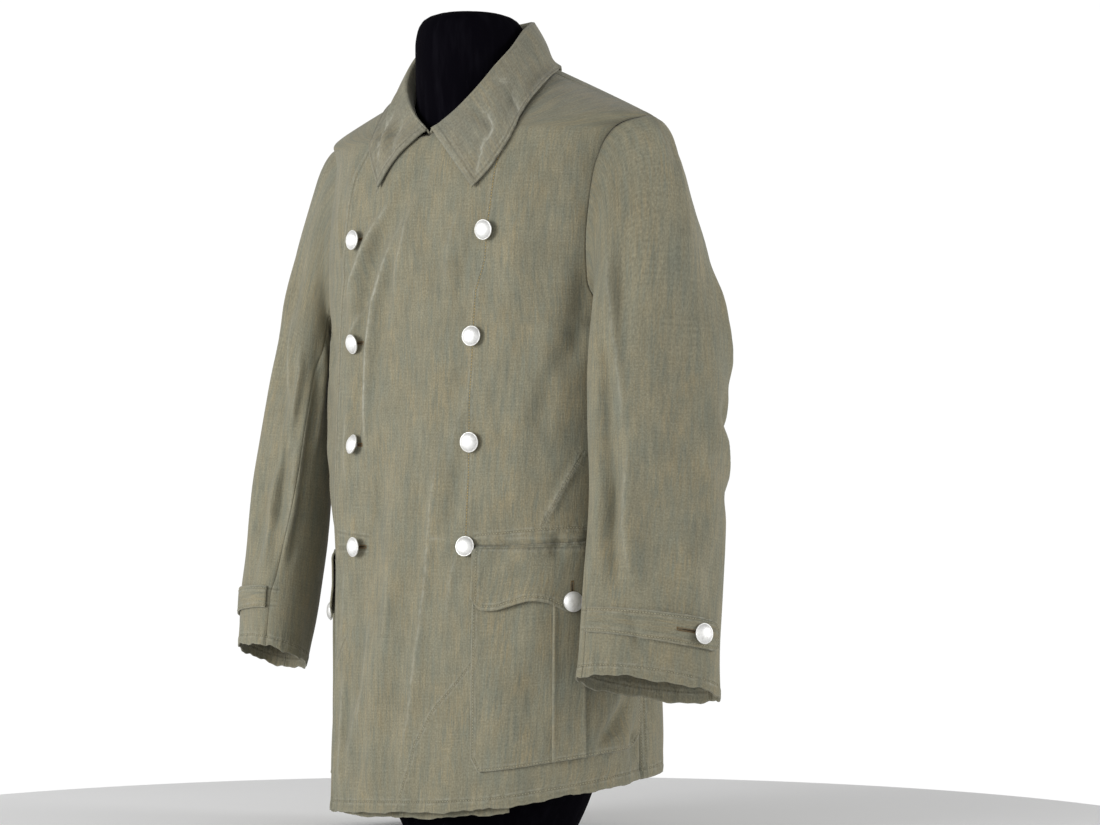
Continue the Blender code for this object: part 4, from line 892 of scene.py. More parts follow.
# %% [markdown]
# A panel is a grid of points on its surface. Its flat map holds where each point lay on the cut cloth, in
# metres, and the attribute wear says how rubbed it is.

# %% Making a panel
WEAR_CHANNEL = 5
SEAM_REACH = 0.014
sewing_lines = []
ridge_lines = []


def line_map(points, faces, lines):
    """For each face corner, how far beside the nearest of these lines it lies, and how far along it."""
    spots = np.concatenate([spots for spots, _ in lines])
    tangents = np.concatenate([np.gradient(spots, axis=0) for spots, _ in lines])
    tangents /= np.linalg.norm(tangents, axis=1, keepdims=True) + 1e-12
    outs = np.concatenate([outs for _, outs in lines])
    steps = [np.linalg.norm(np.diff(spots, axis=0), axis=1) for spots, _ in lines]
    lengths = np.concatenate([np.concatenate([[0.0], step.cumsum()]) + 0.7 * k for k, step in enumerate(steps)])
    tree = KDTree(len(spots))
    for index, spot in enumerate(spots):
        tree.insert(spot, index)
    tree.balance()
    corners = points[faces]
    result = np.full(corners.shape[:2] + (2,), 1.0)
    for index, centre in enumerate(corners.mean(1)):
        _, near, distance = tree.find(centre)
        if distance < SEAM_REACH:
            offset = corners[index] - spots[near]
            result[index, :, 0] = offset @ np.cross(tangents[near], outs[near])
            result[index, :, 1] = lengths[near] + offset @ tangents[near]
    return result


def flat_map(points, u_from=0, offset=(0.0, 0.0)):
    """Distances across from one column and up from the first row, in metres."""
    across = np.linalg.norm(np.diff(points, axis=1), axis=-1)
    across = np.concatenate([np.zeros((points.shape[0], 1)), across.cumsum(1)], 1)
    across = across - across[:, u_from:u_from + 1]
    middle = points.shape[1] // 2
    up = np.linalg.norm(np.diff(points[:, middle], axis=0), axis=-1)
    up = np.concatenate([[0.0], up.cumsum()])
    return np.stack([across + offset[0], np.broadcast_to(up[:, None], across.shape) + offset[1]], -1)


def panel(name, node, points, flat, wear, edge, wall, offset, look, keep=None, turn=False):
    grid = np.concatenate([points, flat, wear[..., None], np.broadcast_to(edge, wear.shape)[..., None]], -1)
    if turn:
        grid = grid[:, ::-1]
        keep = None if keep is None else keep[:, ::-1]
    rows, columns = grid.shape[:2]
    corner = np.arange(rows * columns).reshape(rows, columns)
    faces = np.stack([corner[:-1, :-1], corner[:-1, 1:], corner[1:, 1:], corner[1:, :-1]], -1)
    faces = faces.reshape(-1, 4) if keep is None else faces[keep]
    data = grid.reshape(-1, grid.shape[-1])
    mesh = bpy.data.meshes.new(name)
    mesh.from_pydata(data[:, :3].tolist(), [], faces.tolist())
    layer = mesh.uv_layers.new(name="flat_metres")
    layer.data.foreach_set("uv", data[faces.reshape(-1), 3:5].astype(np.float32).reshape(-1))
    for layer_name, lines in (("seam_metres", sewing_lines), ("ridge_metres", ridge_lines)):
        line_layer = mesh.uv_layers.new(name=layer_name)
        line_layer.data.foreach_set("uv", line_map(data[:, :3], faces, lines).astype(np.float32).reshape(-1))
    for place, attribute_name in enumerate(("ridge_wear", "edge_wear")):
        attribute = mesh.attributes.new(attribute_name, "FLOAT", "POINT")
        attribute.data.foreach_set("value", np.clip(data[:, WEAR_CHANNEL + place], 0, 1).astype(np.float32))
    work = bmesh.new()
    work.from_mesh(mesh)
    bmesh.ops.remove_doubles(work, verts=work.verts, dist=1e-6)
    loose = [vert for vert in work.verts if not vert.link_faces]
    bmesh.ops.delete(work, geom=loose, context="VERTS")
    area = sum(face.calc_area() for face in work.faces)
    work.to_mesh(mesh)
    work.free()
    mesh.shade_smooth()
    mesh.materials.append(look)
    piece = bpy.data.objects.new(name, mesh)
    bpy.context.scene.collection.objects.link(piece)
    wallmaker = piece.modifiers.new("wall", "SOLIDIFY")
    wallmaker.thickness = wall
    wallmaker.offset = offset
    wallmaker.use_even_offset = False
    wallmaker.use_quality_normals = True
    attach(piece, "root")
    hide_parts(node)
    return piece


def fine_then(step, end, fine_steps):
    """Places from 0 to end, close together near 0 and then step apart."""
    places = list(np.array(fine_steps))
    rest = np.linspace(places[-1], end, max(2, int(round((end - places[-1]) / step)) + 1))[1:]
    return np.array(places + list(rest))


EDGE_STEPS_M = (0.0, 0.0012, 0.0026, 0.0042, 0.0060, 0.0085, 0.0115)
CLOTH_STEP = 0.0037
print("cloth step", CLOTH_STEP * 1000, "mm")

# %% [markdown]
# The fronts. The wearer's left front laps over the right one nearly to the far row of buttons. The
# last few millimetres at its free edge and its hem are turned in, so they stand up a little.

# %% Fronts
HEM_TURN = 0.012
EDGE_PUFF = 0.0007
WAIST_BAND_ROWS = (0.2840, 0.3200, 0.0018)  # finer rows where the waist band is sewn
body_rows = np.concatenate([
    fine_then(CLOTH_STEP, 0.70, EDGE_STEPS_M),
    np.arange(0.7030, 0.8690, 0.0030),
    [SHOULDER_ROW],
])
band = np.arange(*WAIST_BAND_ROWS)
body_rows = np.concatenate([
    body_rows[body_rows < band[0] - 0.001], band, body_rows[body_rows > band[-1] + 0.001],
])
body_rows[np.argmin(abs(body_rows - THROAT_ROW))] = THROAT_ROW
throat_index = int(np.argmin(abs(body_rows - THROAT_ROW)))


def front_degs(side):
    """Angles of a front's points, one row of them for each body row, and how many lie past the centre."""
    reach = float(free_edge(0.3, side)) * BODY_METRES_PER_DEG
    lap_shares = fine_then(CLOTH_STEP, reach, EDGE_STEPS_M) / reach
    far_count = int(SIDE_DEG * BODY_METRES_PER_DEG / CLOTH_STEP)
    far_shares = np.linspace(0, 1, far_count + 1)[1:]
    ends = torso_value("front_edge_deg", body_rows) - np.where(body_rows <= ARMPIT_ROW, SEAM_DEG, 0.0)
    lap = -free_edge(body_rows, side)[:, None] * (1 - lap_shares)[None, :]
    return np.concatenate([lap, ends[:, None] * far_shares[None, :]], 1), len(lap_shares) - 1


def hem_puckers(points, rows, strength=0.0006):
    """Small upright waves where the hem's stitching has drawn the cloth in."""
    round_m = np.arctan2(points[..., 0], -points[..., 1]) * 0.16
    wave = np.sin(round_m / 0.011 * 2 * math.pi + 2.0 * np.sin(round_m * 37)) + 0.5 * np.sin(round_m / 0.0047)
    return strength * wave * np.exp(-(((rows - HEM_TURN) / 0.012) ** 2))


def ragged(points, seed):
    """How far an old hem or cuff edge dips and rises along its length."""
    random = np.random.default_rng(seed)
    round_m = np.arctan2(points[..., 0], -points[..., 1]) * 0.16 + np.linalg.norm(points[..., :2], axis=-1)
    total = 0.0
    for length, height in RAGGED_WAVES:
        total = total + height * np.sin(2 * math.pi * round_m / length + random.uniform(0, 6.28))
    return total


RAGGED_WAVES = ((0.110, 0.0009), (0.047, 0.0006), (0.019, 0.0004), (0.008, 0.0002))


def build_front(name, side):
    degs, lap_steps = front_degs(side)
    rows = np.repeat(body_rows[:, None], degs.shape[1], axis=1)
    points, normals, wear = front(degs, rows, side)
    edge_m = (degs - degs[:, :1]) * BODY_METRES_PER_DEG
    puff = EDGE_PUFF * (1 - smooth(0.004, 0.009, edge_m)) * (rows < THROAT_ROW)
    puff = puff + EDGE_PUFF * (1 - smooth(HEM_TURN * 0.6, HEM_TURN, rows))
    points = points + normals * (puff + hem_puckers(points, rows))[..., None]
    edge = 0.20 * (1 - smooth(0.0, 0.003, edge_m)) + 0.20 * (1 - smooth(0.0, 0.003, rows))
    points[..., 2] += ragged(points, 3 + side) * (1 - smooth(0.0, 0.03, rows))
    if side < 0:
        corner = 1 - smooth(10.0, 30.0, degs)
        low = np.clip(1 - rows / UNDERLAP_FADE, 0, 1)
        points[..., 2] -= UNDERLAP_DROP * corner * low
        points = points - normals * (UNDERLAP_TUCK * corner * smooth(0.0, 1.0, low))[..., None]
    keep = np.ones((points.shape[0] - 1, points.shape[1] - 1), bool)
    keep[throat_index:, :lap_steps] = False
    flat = flat_map(points, lap_steps, (0.31 * side, 0.0))
    return panel(f"{name}_cloth", name, points, flat, wear, edge, WALL, -1, drill_body, keep, side < 0)



# %% [markdown]
# The back is one panel from side seam to side seam, with its own upright folds below the shoulder blades.

# %% Back
def build_back():
    count = int(86 * BODY_METRES_PER_DEG / CLOTH_STEP)
    shares = np.linspace(0, 1, count + 1)
    ends = torso_value("back_edge_deg", body_rows) - np.where(body_rows <= ARMPIT_ROW, SEAM_DEG, 0.0)
    degs = ends[:, None] * shares
    rows = np.repeat(body_rows[:, None], count + 1, axis=1)
    halves = []
    for side in (1, -1):
        points, normals, wear = body(degs, rows, side, True)
        puff = EDGE_PUFF * (1 - smooth(HEM_TURN * 0.6, HEM_TURN, rows)) + hem_puckers(points, rows)
        halves.append((points + normals * puff[..., None], wear))
    points = np.concatenate([halves[0][0][:, ::-1], halves[1][0]], 1)
    wear = np.concatenate([halves[0][1][:, ::-1], halves[1][1]], 1)
    keep = np.ones((points.shape[0] - 1, points.shape[1] - 1), bool)
    keep[:, count] = False
    flat = flat_map(points, count, (0.9, 0.0))
    edge = 0.2 * (1 - smooth(0.0, 0.003, body_rows))[:, None]
    panel("back_cloth", "back", points, flat, wear, edge, WALL, -1, drill_body, keep)


# %% [markdown]
# Sleeves are cut in two pieces. Their seams roll in slightly, and the cuff's edge is turned in and stitched.

# %% Sleeves
SLEEVE_SEAM_HALF = 0.0004
SEAM_DIP = 0.0010


def seam_dip(share, v):
    """The cloth rolls down into a sleeve seam over a few millimetres, less so near the armhole."""
    dip = 0.0
    for seam, start in ((monotone(FRONT_SEAM_ROWS, 1, v), 0.1), (REAR_SEAM_SHARE, 0.2)):
        away = ((share - seam + 0.5) % 1.0 - 0.5) * SLEEVE_GIRTH
        dip = dip - SEAM_DIP * np.exp(-((away / 0.0024) ** 2)) * smooth(start, start + 0.5, v)
    return dip


def sleeve_edge_wave(share, side):
    """The cuff's edge dips and rises as it goes round."""
    turn = 2 * math.pi * share
    return 0.0010 * np.sin(5 * turn + side) + 0.0008 * np.sin(11 * turn + 2.1) + 0.0005 * np.sin(23 * turn + side)


def along_sleeve():
    cap = np.linspace(0, 1, int(CAP_LENGTH / CLOTH_STEP) + 1)
    cuff = 1 - fine_then(CLOTH_STEP, TUBE_LENGTH, EDGE_STEPS_M) / TUBE_LENGTH
    return np.concatenate([cap, 1 + cuff[::-1][1:]])


def build_sleeve(label, side, kind):
    v = along_sleeve()[::-1]
    front_seam = monotone(FRONT_SEAM_ROWS, 1, v)
    rear_seam = np.full_like(v, REAR_SEAM_SHARE)
    start, end = (front_seam, rear_seam) if kind == "upper" else (rear_seam, 1 + front_seam)
    start, end = start + SLEEVE_SEAM_HALF, end - SLEEVE_SEAM_HALF
    width = float((end - start).max()) * SLEEVE_GIRTH
    edge = np.array(EDGE_STEPS_M[:5]) / width
    inner = np.linspace(edge[-1], 1 - edge[-1], int(width / CLOTH_STEP))
    places = np.concatenate([edge[:-1], inner, 1 - edge[:-1][::-1]])
    share_grid = start[:, None] + (end - start)[:, None] * places
    v_grid = np.repeat(v[:, None], len(places), axis=1)
    points, normals, wear = sleeve(share_grid % 1.0, v_grid, side)
    cuff_m = (2 - v_grid) * TUBE_LENGTH
    puff = seam_dip(share_grid % 1.0, v_grid) + EDGE_PUFF * (1 - smooth(0.008, 0.012, cuff_m))
    wave = np.sin(share_grid * SLEEVE_GIRTH / 0.012 * 2 * math.pi + 3 * np.sin(share_grid * 17))
    puff = puff + 0.0005 * wave * np.exp(-(((cuff_m - 0.011) / 0.011) ** 2))
    points = points + normals * puff[..., None]
    edge = 0.25 * (1 - smooth(0.0, 0.0025, cuff_m))
    edge_wave = sleeve_edge_wave(share_grid, side) * (1 - smooth(0.0, 0.03, cuff_m))
    points[..., 2] += edge_wave
    across, along = sleeve_metres(share_grid, v_grid)
    flat = np.stack([across + 1.7 * side + 3.0, 0.6 - along], -1)
    name = f"{kind}_sleeve_{label}"
    panel(f"{name}_cloth", name, points, flat, wear, edge, WALL, -1, drill_body, None, side < 0)


# %% [markdown]
# The collar is one folded sheet: a stand round the neck, a roll, and two pointed leaves that lie on the
# fronts. Its leaves are pushed clear of the body's real points, as the solid's are.

# %% Collar
COLLAR_HALF_STEPS = 92
COLLAR_PROFILE_STEPS = 46
COLLAR_HALF_LENGTH = 0.24
LEAF_LENGTH = 0.085
PROFILE_POINTS = 8
LEAF_START = 4


def collar_profile(shares, side):
    """The stand, the roll and the leaf at each share, as eight guide points from neck seam to leaf edge."""
    seam, roll, edge = (
        np.stack([column(COLLAR_ROWS, COLLAR_COLUMNS, f"{part}_{axis}", shares) for axis in "xyz"], -1) * (side, 1.0, 1.0)
        for part in ("seam", "roll", "edge")
    )
    if side < 0:
        edge[:, 0] *= column(RIGHT_LEAF_ROWS, RIGHT_LEAF_COLUMNS, "x_scale", shares)
        edge[:, 2] += column(RIGHT_LEAF_ROWS, RIGHT_LEAF_COLUMNS, "rise", shares)
    outward = edge - roll
    outward[:, 2] = 0
    outward /= np.linalg.norm(outward, axis=1, keepdims=True)
    down = np.array([0.0, 0.0, -ROLL_RADIUS])
    stand_top = roll - outward * ROLL_RADIUS + down
    leaf_top = roll + outward * ROLL_RADIUS + down
    return np.stack([
        seam,
        (seam + stand_top) / 2 - outward * 0.0015,
        stand_top,
        roll,
        leaf_top,
        leaf_top * 0.67 + edge * 0.33 + outward * 0.0030,
        leaf_top * 0.33 + edge * 0.67 + outward * 0.0025,
        edge,
    ])


def through_points(guides, at):
    """Catmull-Rom curve through the guide points, read at places counted in guide points."""
    k = np.clip(at.astype(int), 0, len(guides) - 2)
    t = (at - k)[:, None, None]
    before = guides[np.maximum(k - 1, 0)]
    after = guides[np.minimum(k + 2, len(guides) - 1)]
    here, there = guides[k], guides[k + 1]
    return 0.5 * (2 * here + (there - before) * t + (2 * before - 5 * here + 4 * there - after) * t ** 2
                  + (3 * here - before - 3 * there + after) * t ** 3)


def body_cloud():
    """Points and normals of the outer faces round the neck and chest, for keeping the collar clear."""
    rows, degs = np.meshgrid(np.linspace(0.60, SHOULDER_ROW, 120), np.linspace(0, 60, 90), indexing="ij")
    parts = [front(degs, rows, 1)[:2], front(degs, rows, -1)[:2], body(degs, rows, 1, True)[:2],
             body(degs, rows, -1, True)[:2]]
    below = rows[:, 0] < THROAT_ROW
    parts.append(front(-degs[below] * 0.5, rows[below], 1)[:2])
    spots = np.concatenate([points.reshape(-1, 3) for points, _ in parts])
    outs = np.concatenate([normals.reshape(-1, 3) for _, normals in parts])
    tree = KDTree(len(spots))
    for index, spot in enumerate(spots):
        tree.insert(spot, index)
    tree.balance()
    return spots, outs, tree


neck_spots, neck_outs, neck_tree = body_cloud()


def lift_clear(points, gap):
    flat_points = points.reshape(-1, 3).copy()
    for index, point in enumerate(flat_points):
        _, near, _ = neck_tree.find(point)
        height = float((point - neck_spots[near]) @ neck_outs[near])
        if height < gap:
            flat_points[index] = point + neck_outs[near] * (gap - height)
    return flat_points.reshape(points.shape)


def collar_surface(shares, at, side):
    """Points, normals and wear on one half of the collar, at guide places at."""
    guides = collar_profile(shares, side)
    guides[3:] = lift_clear(guides[3:], COLLAR_CLEARANCE)
    points = through_points(guides, at)
    leaf = np.clip(at - LEAF_START, 0, None) / (PROFILE_POINTS - 1 - LEAF_START)
    low = at >= LEAF_START
    points[low] = lift_clear(points[low], COLLAR_CLEARANCE - 0.0006)
    round_step = np.gradient(points, axis=1)
    down_step = np.gradient(points, axis=0)
    normals = np.cross(down_step, round_step) * side
    normals /= np.linalg.norm(normals, axis=-1, keepdims=True) + 1e-12
    across = np.broadcast_to(shares * COLLAR_HALF_LENGTH, points.shape[:2])
    down = np.broadcast_to((leaf * LEAF_LENGTH)[:, None], points.shape[:2])
    paths = [
        (width, rise, worn, np.array(path) * (COLLAR_HALF_LENGTH, LEAF_LENGTH))
        for which, width, rise, worn, *path in COLLAR_CREASES if which in (0, side)
    ]
    crease, wear = crease_field(across, down, paths)
    on_leaf = (at > LEAF_START - 0.5)[:, None]
    points = points + normals * ((crease + 0.5 * rumple(points, 31)) * on_leaf)[..., None]
    roll_wear = 0.14 * np.exp(-(((at - 3.0) / 0.5) ** 2))[:, None]
    edge_wear = 0.16 * (1 - smooth(0.0, 0.003, LEAF_LENGTH - down)) + 0.16 * (1 - smooth(0.0, 0.004, COLLAR_HALF_LENGTH - across))
    return points, normals, wear * on_leaf, roll_wear + edge_wear * on_leaf


def collar_places():
    stand = np.linspace(0, 2, 9)[:-1]
    roll = np.linspace(2, 4, 11)[:-1]
    leaf = np.linspace(4, 7, COLLAR_PROFILE_STEPS - 19)
    return np.concatenate([stand, roll, leaf[:-1], [6.93, 7.0]])


def build_collar():
    ends = np.array([0.0, 0.006, 0.013, 0.021])
    shares = np.concatenate([np.linspace(0, 1 - ends[-1], COLLAR_HALF_STEPS), 1 - ends[:-1][::-1]])
    at = collar_places()
    left = collar_surface(shares, at, 1)
    right = collar_surface(shares, at, -1)
    points = np.concatenate([right[0][:, :0:-1], left[0]], 1)
    wear, edge = (np.concatenate([right[k][:, :0:-1], left[k]], 1) for k in (2, 3))
    across = np.concatenate([-shares[:0:-1], shares]) * COLLAR_HALF_LENGTH
    down = np.concatenate([[0.0], np.linalg.norm(np.diff(points[:, len(shares)], axis=0), axis=-1).cumsum()])
    flat = np.stack(np.broadcast_arrays(across[None, :] + 7.0, down[:, None]), -1)
    panel("collar_cloth", "collar", points, flat, wear, edge, COLLAR_WALL, 0, drill_collar)


# %% [markdown]
# Patch pockets with a box pleat, and the three-pointed flaps over them. The pocket's lower corners are
# cut off at a slant. The pleat stands up with a sharp fold at both sides, and the flap's edge curls away.

# %% Pockets and flaps
POCKET_START = {1: 20.6, -1: 41.8}
POCKET_END = 93.0
POCKET_ROWS_SPAN = (0.043, 0.288)
PLEAT_DEGS = (51.0, 64.0)
PLEAT_HEIGHT = 0.0017
PLEAT_FOLD_RISE = 0.0015
CORNER_DEG = 2.9
CORNER_RISE = 0.017
POCKET_GAP = 0.0011
FLAP_TOP_ROW = 0.299
FLAP_COLUMNS = ("deg", "depth")
FLAP_DEPTHS = (
    (20.0, 0.056), (20.9, 0.062), (24.5, 0.074), (28.5, 0.0745), (34.0, 0.071), (42.0, 0.0665), (48.0, 0.0695),
    (53.0, 0.0770), (57.0, 0.0825), (59.0, 0.0825), (63.0, 0.0770), (68.0, 0.0695), (74.0, 0.0665),
    (82.0, 0.071), (87.0, 0.0745), (91.0, 0.074), (93.2, 0.062), (93.6, 0.056),
)
FLAP_GAP = 0.0009
FLAP_LIFT = WALL + 2 * GAP + PLEAT_HEIGHT


def pleat_lift(degs):
    """Height of the box pleat over the pocket, with a slight rise at each fold."""
    start, end = PLEAT_DEGS
    inside = (degs > start) & (degs < end)
    fold = np.exp(-((degs - start) / 1.3) ** 2) + 0.6 * np.exp(-((degs - end) / 1.3) ** 2)
    return np.where(inside, PLEAT_HEIGHT + PLEAT_FOLD_RISE * fold, 0.0)


def pocket_low_row(degs, side):
    low = POCKET_ROWS_SPAN[0]
    rise = np.clip(1 - (POCKET_END - degs) / CORNER_DEG, 0, 1)
    if side > 0:
        rise = np.maximum(rise, np.clip(1 - (degs - POCKET_START[1]) / CORNER_DEG, 0, 1))
    return low + CORNER_RISE * rise


def build_pocket(label, side):
    start = POCKET_START[side]
    fine = np.array(EDGE_STEPS_M) / BODY_METRES_PER_DEG
    count = int((POCKET_END - start) * BODY_METRES_PER_DEG / 0.0036)
    degs = np.concatenate([start + fine, np.linspace(start, POCKET_END, count), POCKET_END - fine])
    for fold in PLEAT_DEGS:
        degs = np.concatenate([degs, fold + np.array([-0.8, -0.35, -0.06, 0.06, 0.35, 0.8])])
    degs = np.unique(degs.round(3))
    share = fine_then(0.0036, 0.245, EDGE_STEPS_M) / 0.245
    low = pocket_low_row(degs, side)[None, :]
    rows = low + (POCKET_ROWS_SPAN[1] - low) * share[:, None]
    degs = np.broadcast_to(degs, rows.shape)
    points, normals, wear = front(degs, rows, side, POCKET_GAP + pleat_lift(degs))
    edge_m = np.minimum((degs - start) * BODY_METRES_PER_DEG if side > 0 else 1.0, share[:, None] * 0.245)
    edge_m = np.minimum(edge_m, (POCKET_END - degs) * BODY_METRES_PER_DEG)
    points = points + normals * (0.5 * EDGE_PUFF * (1 - smooth(0.002, 0.005, edge_m)))[..., None]
    edge = 0.2 * (1 - smooth(0.0, 0.002, edge_m))
    for fold in PLEAT_DEGS:
        edge = edge + 0.18 * np.exp(-(((degs - fold) / 0.5) ** 2))
    flat = flat_map(points, 0, (9.0 + side, 0.3))
    name = f"pocket_{label}"
    panel(f"{name}_cloth", name, points, flat, wear, edge, WALL, 1, drill_patch, None, side < 0)


def flap_grid(side, step=0.0034):
    start = POCKET_START[side] - (0.1 if side > 0 else 0.0)
    end = 93.4
    degs = np.linspace(start, end, int((end - start) * BODY_METRES_PER_DEG / step))
    down = np.concatenate([np.linspace(0, 0.88, 19), [0.92, 0.955, 0.98, 1.0]])
    depth = column(FLAP_DEPTHS, FLAP_COLUMNS, "depth", degs)
    rows = FLAP_TOP_ROW - depth[None, :] * down[:, None]
    return np.broadcast_to(degs, rows.shape), rows, np.broadcast_to(down[:, None], rows.shape)


def flap_lift(degs, down):
    """The flap comes off the cloth at its seam, clears the pocket and curls away from it between its points."""
    curl = 0.0022 * smooth(0.55, 1.0, down) * (0.5 - 0.5 * np.cos((degs - 24) / 34 * 2 * math.pi))
    return FLAP_GAP + FLAP_LIFT * smooth(0.0, 0.14, down) + curl


def build_flap(label, side):
    degs, rows, down = flap_grid(side)
    points, normals, wear = front(degs, rows, side, flap_lift(degs, down))
    edge = 0.2 * (1 - smooth(0.0, 0.003, (1 - down) * 0.07))
    points, wear, edge = points[::-1], wear[::-1], edge[::-1]
    flat = flat_map(points, 0, (12.0 + side, 0.7))
    name = f"pocket_flap_{label}"
    panel(f"{name}_cloth", name, points, flat, wear, edge, FLAP_WALL, 1, drill_patch, None, side < 0)


# %% [markdown]
# The cuff straps start in the sleeve's front seam and end in a rounded tip with a button.

# %% Cuff straps
STRAP_START = FRONT_SEAM_SHARE + 0.006
STRAP_END = 0.677
STRAP_ROUND = 0.030
STRAP_COLUMNS = ("share", "high", "low")
STRAP_ROWS = (
    (0.300, 1.785, 1.862), (0.360, 1.787, 1.868), (0.440, 1.788, 1.874), (0.520, 1.786, 1.878), (0.600, 1.782, 1.876),
    (0.680, 1.778, 1.872),
)


def strap_place(share, t):
    """Place along the sleeve of a strap point, t from its lower edge (0) to its upper one (1)."""
    high = column(STRAP_ROWS, STRAP_COLUMNS, "high", share)
    low = column(STRAP_ROWS, STRAP_COLUMNS, "low", share)
    tip = np.clip((share - (STRAP_END - STRAP_ROUND)) / STRAP_ROUND, 0, 1)
    half = (low - high) / 2 * np.sqrt(np.clip(1 - 0.98 * tip ** 2, 0, 1))
    return (high + low) / 2 + half * (1 - 2 * t)


def build_strap(label, side):
    count = int((STRAP_END - STRAP_START) * SLEEVE_GIRTH / 0.0033)
    tip = STRAP_END - STRAP_ROUND * (1 - np.sin(np.linspace(0, math.pi / 2, 12)))
    shares = np.concatenate([np.linspace(STRAP_START, STRAP_END - STRAP_ROUND, count)[:-1], tip])
    t = np.concatenate([[0, 0.04, 0.09, 0.15], np.linspace(0.22, 0.78, 7), [0.85, 0.91, 0.96, 1.0]])
    share_grid, t_grid = np.meshgrid(shares, t)
    edge = np.minimum(t_grid, 1 - t_grid) * 0.032
    lift = GAP + 0.0003 + 0.0010 * smooth(0.55, 0.66, share_grid)
    points, normals, wear = sleeve(share_grid, strap_place(share_grid, t_grid), side, lift)
    edge = 0.25 * (1 - smooth(0.0, 0.0025, edge))
    flat = flat_map(points, 0, (15.0 + side, 0.1))
    flat = flat[..., ::-1]
    name = f"cuff_strap_{label}"
    panel(f"{name}_cloth", name, points, flat, wear, edge, FLAP_WALL, 1, drill_patch, None, side < 0)


# %% [markdown]
# Sewing. A seam is the same small stitch again and again along a path, which is what Geometry Nodes do
# well. A path is a chain of points that lie on the cloth, with the cloth's outward direction at each.

# %% The stitching tree
def build_stitch_tree():
    tree = bpy.data.node_groups.new("stitch_along_path", "GeometryNodeTree")
    tree.is_modifier = True
    tree.interface.new_socket("Geometry", in_out="INPUT", socket_type="NodeSocketGeometry")
    for name, kind, value in (
        ("Pitch", "NodeSocketFloat", 0.003),
        ("Stitch length", "NodeSocketFloat", 0.002),
        ("Thread radius", "NodeSocketFloat", 0.0003),
        ("Turn", "NodeSocketFloat", 0.0),
    ):
        tree.interface.new_socket(name, in_out="INPUT", socket_type=kind).default_value = value
    tree.interface.new_socket("Thread", in_out="INPUT", socket_type="NodeSocketMaterial")
    tree.interface.new_socket("Geometry", in_out="OUTPUT", socket_type="NodeSocketGeometry")
    inside = tree.nodes.new("NodeGroupInput").outputs
    outside = tree.nodes.new("NodeGroupOutput").inputs
    curve = tree.nodes.new("GeometryNodeMeshToCurve")
    link(tree, inside["Geometry"], curve.inputs["Mesh"])
    spaced = tree.nodes.new("GeometryNodeResampleCurve")
    spaced.mode = "LENGTH"
    link(tree, curve.outputs["Curve"], spaced.inputs["Curve"])
    link(tree, inside["Pitch"], spaced.inputs["Length"])
    ball = tree.nodes.new("GeometryNodeMeshUVSphere")
    ball.inputs["Segments"].default_value = 5
    ball.inputs["Rings"].default_value = 4
    ball.inputs["Radius"].default_value = 1.0
    shape = tree.nodes.new("ShaderNodeCombineXYZ")
    link(tree, math_node(tree, "MULTIPLY", inside["Stitch length"], 0.5), shape.inputs[0])
    link(tree, inside["Thread radius"], shape.inputs[1])
    link(tree, inside["Thread radius"], shape.inputs[2])
    spin = tree.nodes.new("ShaderNodeCombineXYZ")
    link(tree, inside["Turn"], spin.inputs[2])
    stitch = tree.nodes.new("GeometryNodeTransform")
    link(tree, ball.outputs["Mesh"], stitch.inputs["Geometry"])
    link(tree, shape.outputs[0], stitch.inputs["Scale"])
    turned = tree.nodes.new("GeometryNodeTransform")
    link(tree, stitch.outputs["Geometry"], turned.inputs["Geometry"])
    link(tree, spin.outputs[0], turned.inputs["Rotation"])
    tangent = tree.nodes.new("GeometryNodeInputTangent")
    outward = tree.nodes.new("GeometryNodeInputNamedAttribute")
    outward.data_type = "FLOAT_VECTOR"
    outward.inputs["Name"].default_value = "outward"
    along = tree.nodes.new("FunctionNodeAlignRotationToVector")
    along.axis = "X"
    link(tree, tangent.outputs[0], along.inputs["Vector"])
    upright = tree.nodes.new("FunctionNodeAlignRotationToVector")
    upright.axis = "Z"
    upright.pivot_axis = "X"
    link(tree, along.outputs[0], upright.inputs["Rotation"])
    link(tree, outward.outputs["Attribute"], upright.inputs["Vector"])
    place = tree.nodes.new("GeometryNodeInstanceOnPoints")
    link(tree, spaced.outputs["Curve"], place.inputs["Points"])
    link(tree, turned.outputs["Geometry"], place.inputs["Instance"])
    link(tree, upright.outputs[0], place.inputs["Rotation"])
    real = tree.nodes.new("GeometryNodeRealizeInstances")
    link(tree, place.outputs["Instances"], real.inputs["Geometry"])
    paint = tree.nodes.new("GeometryNodeSetMaterial")
    link(tree, real.outputs["Geometry"], paint.inputs["Geometry"])
    link(tree, inside["Thread"], paint.inputs["Material"])
    link(tree, paint.outputs["Geometry"], outside["Geometry"])
    return tree


stitch_tree = build_stitch_tree()
stitch_inputs = {item.name: item.identifier for item in stitch_tree.interface.items_tree if item.in_out == "INPUT"}
print("stitch tree inputs:", ", ".join(stitch_inputs))

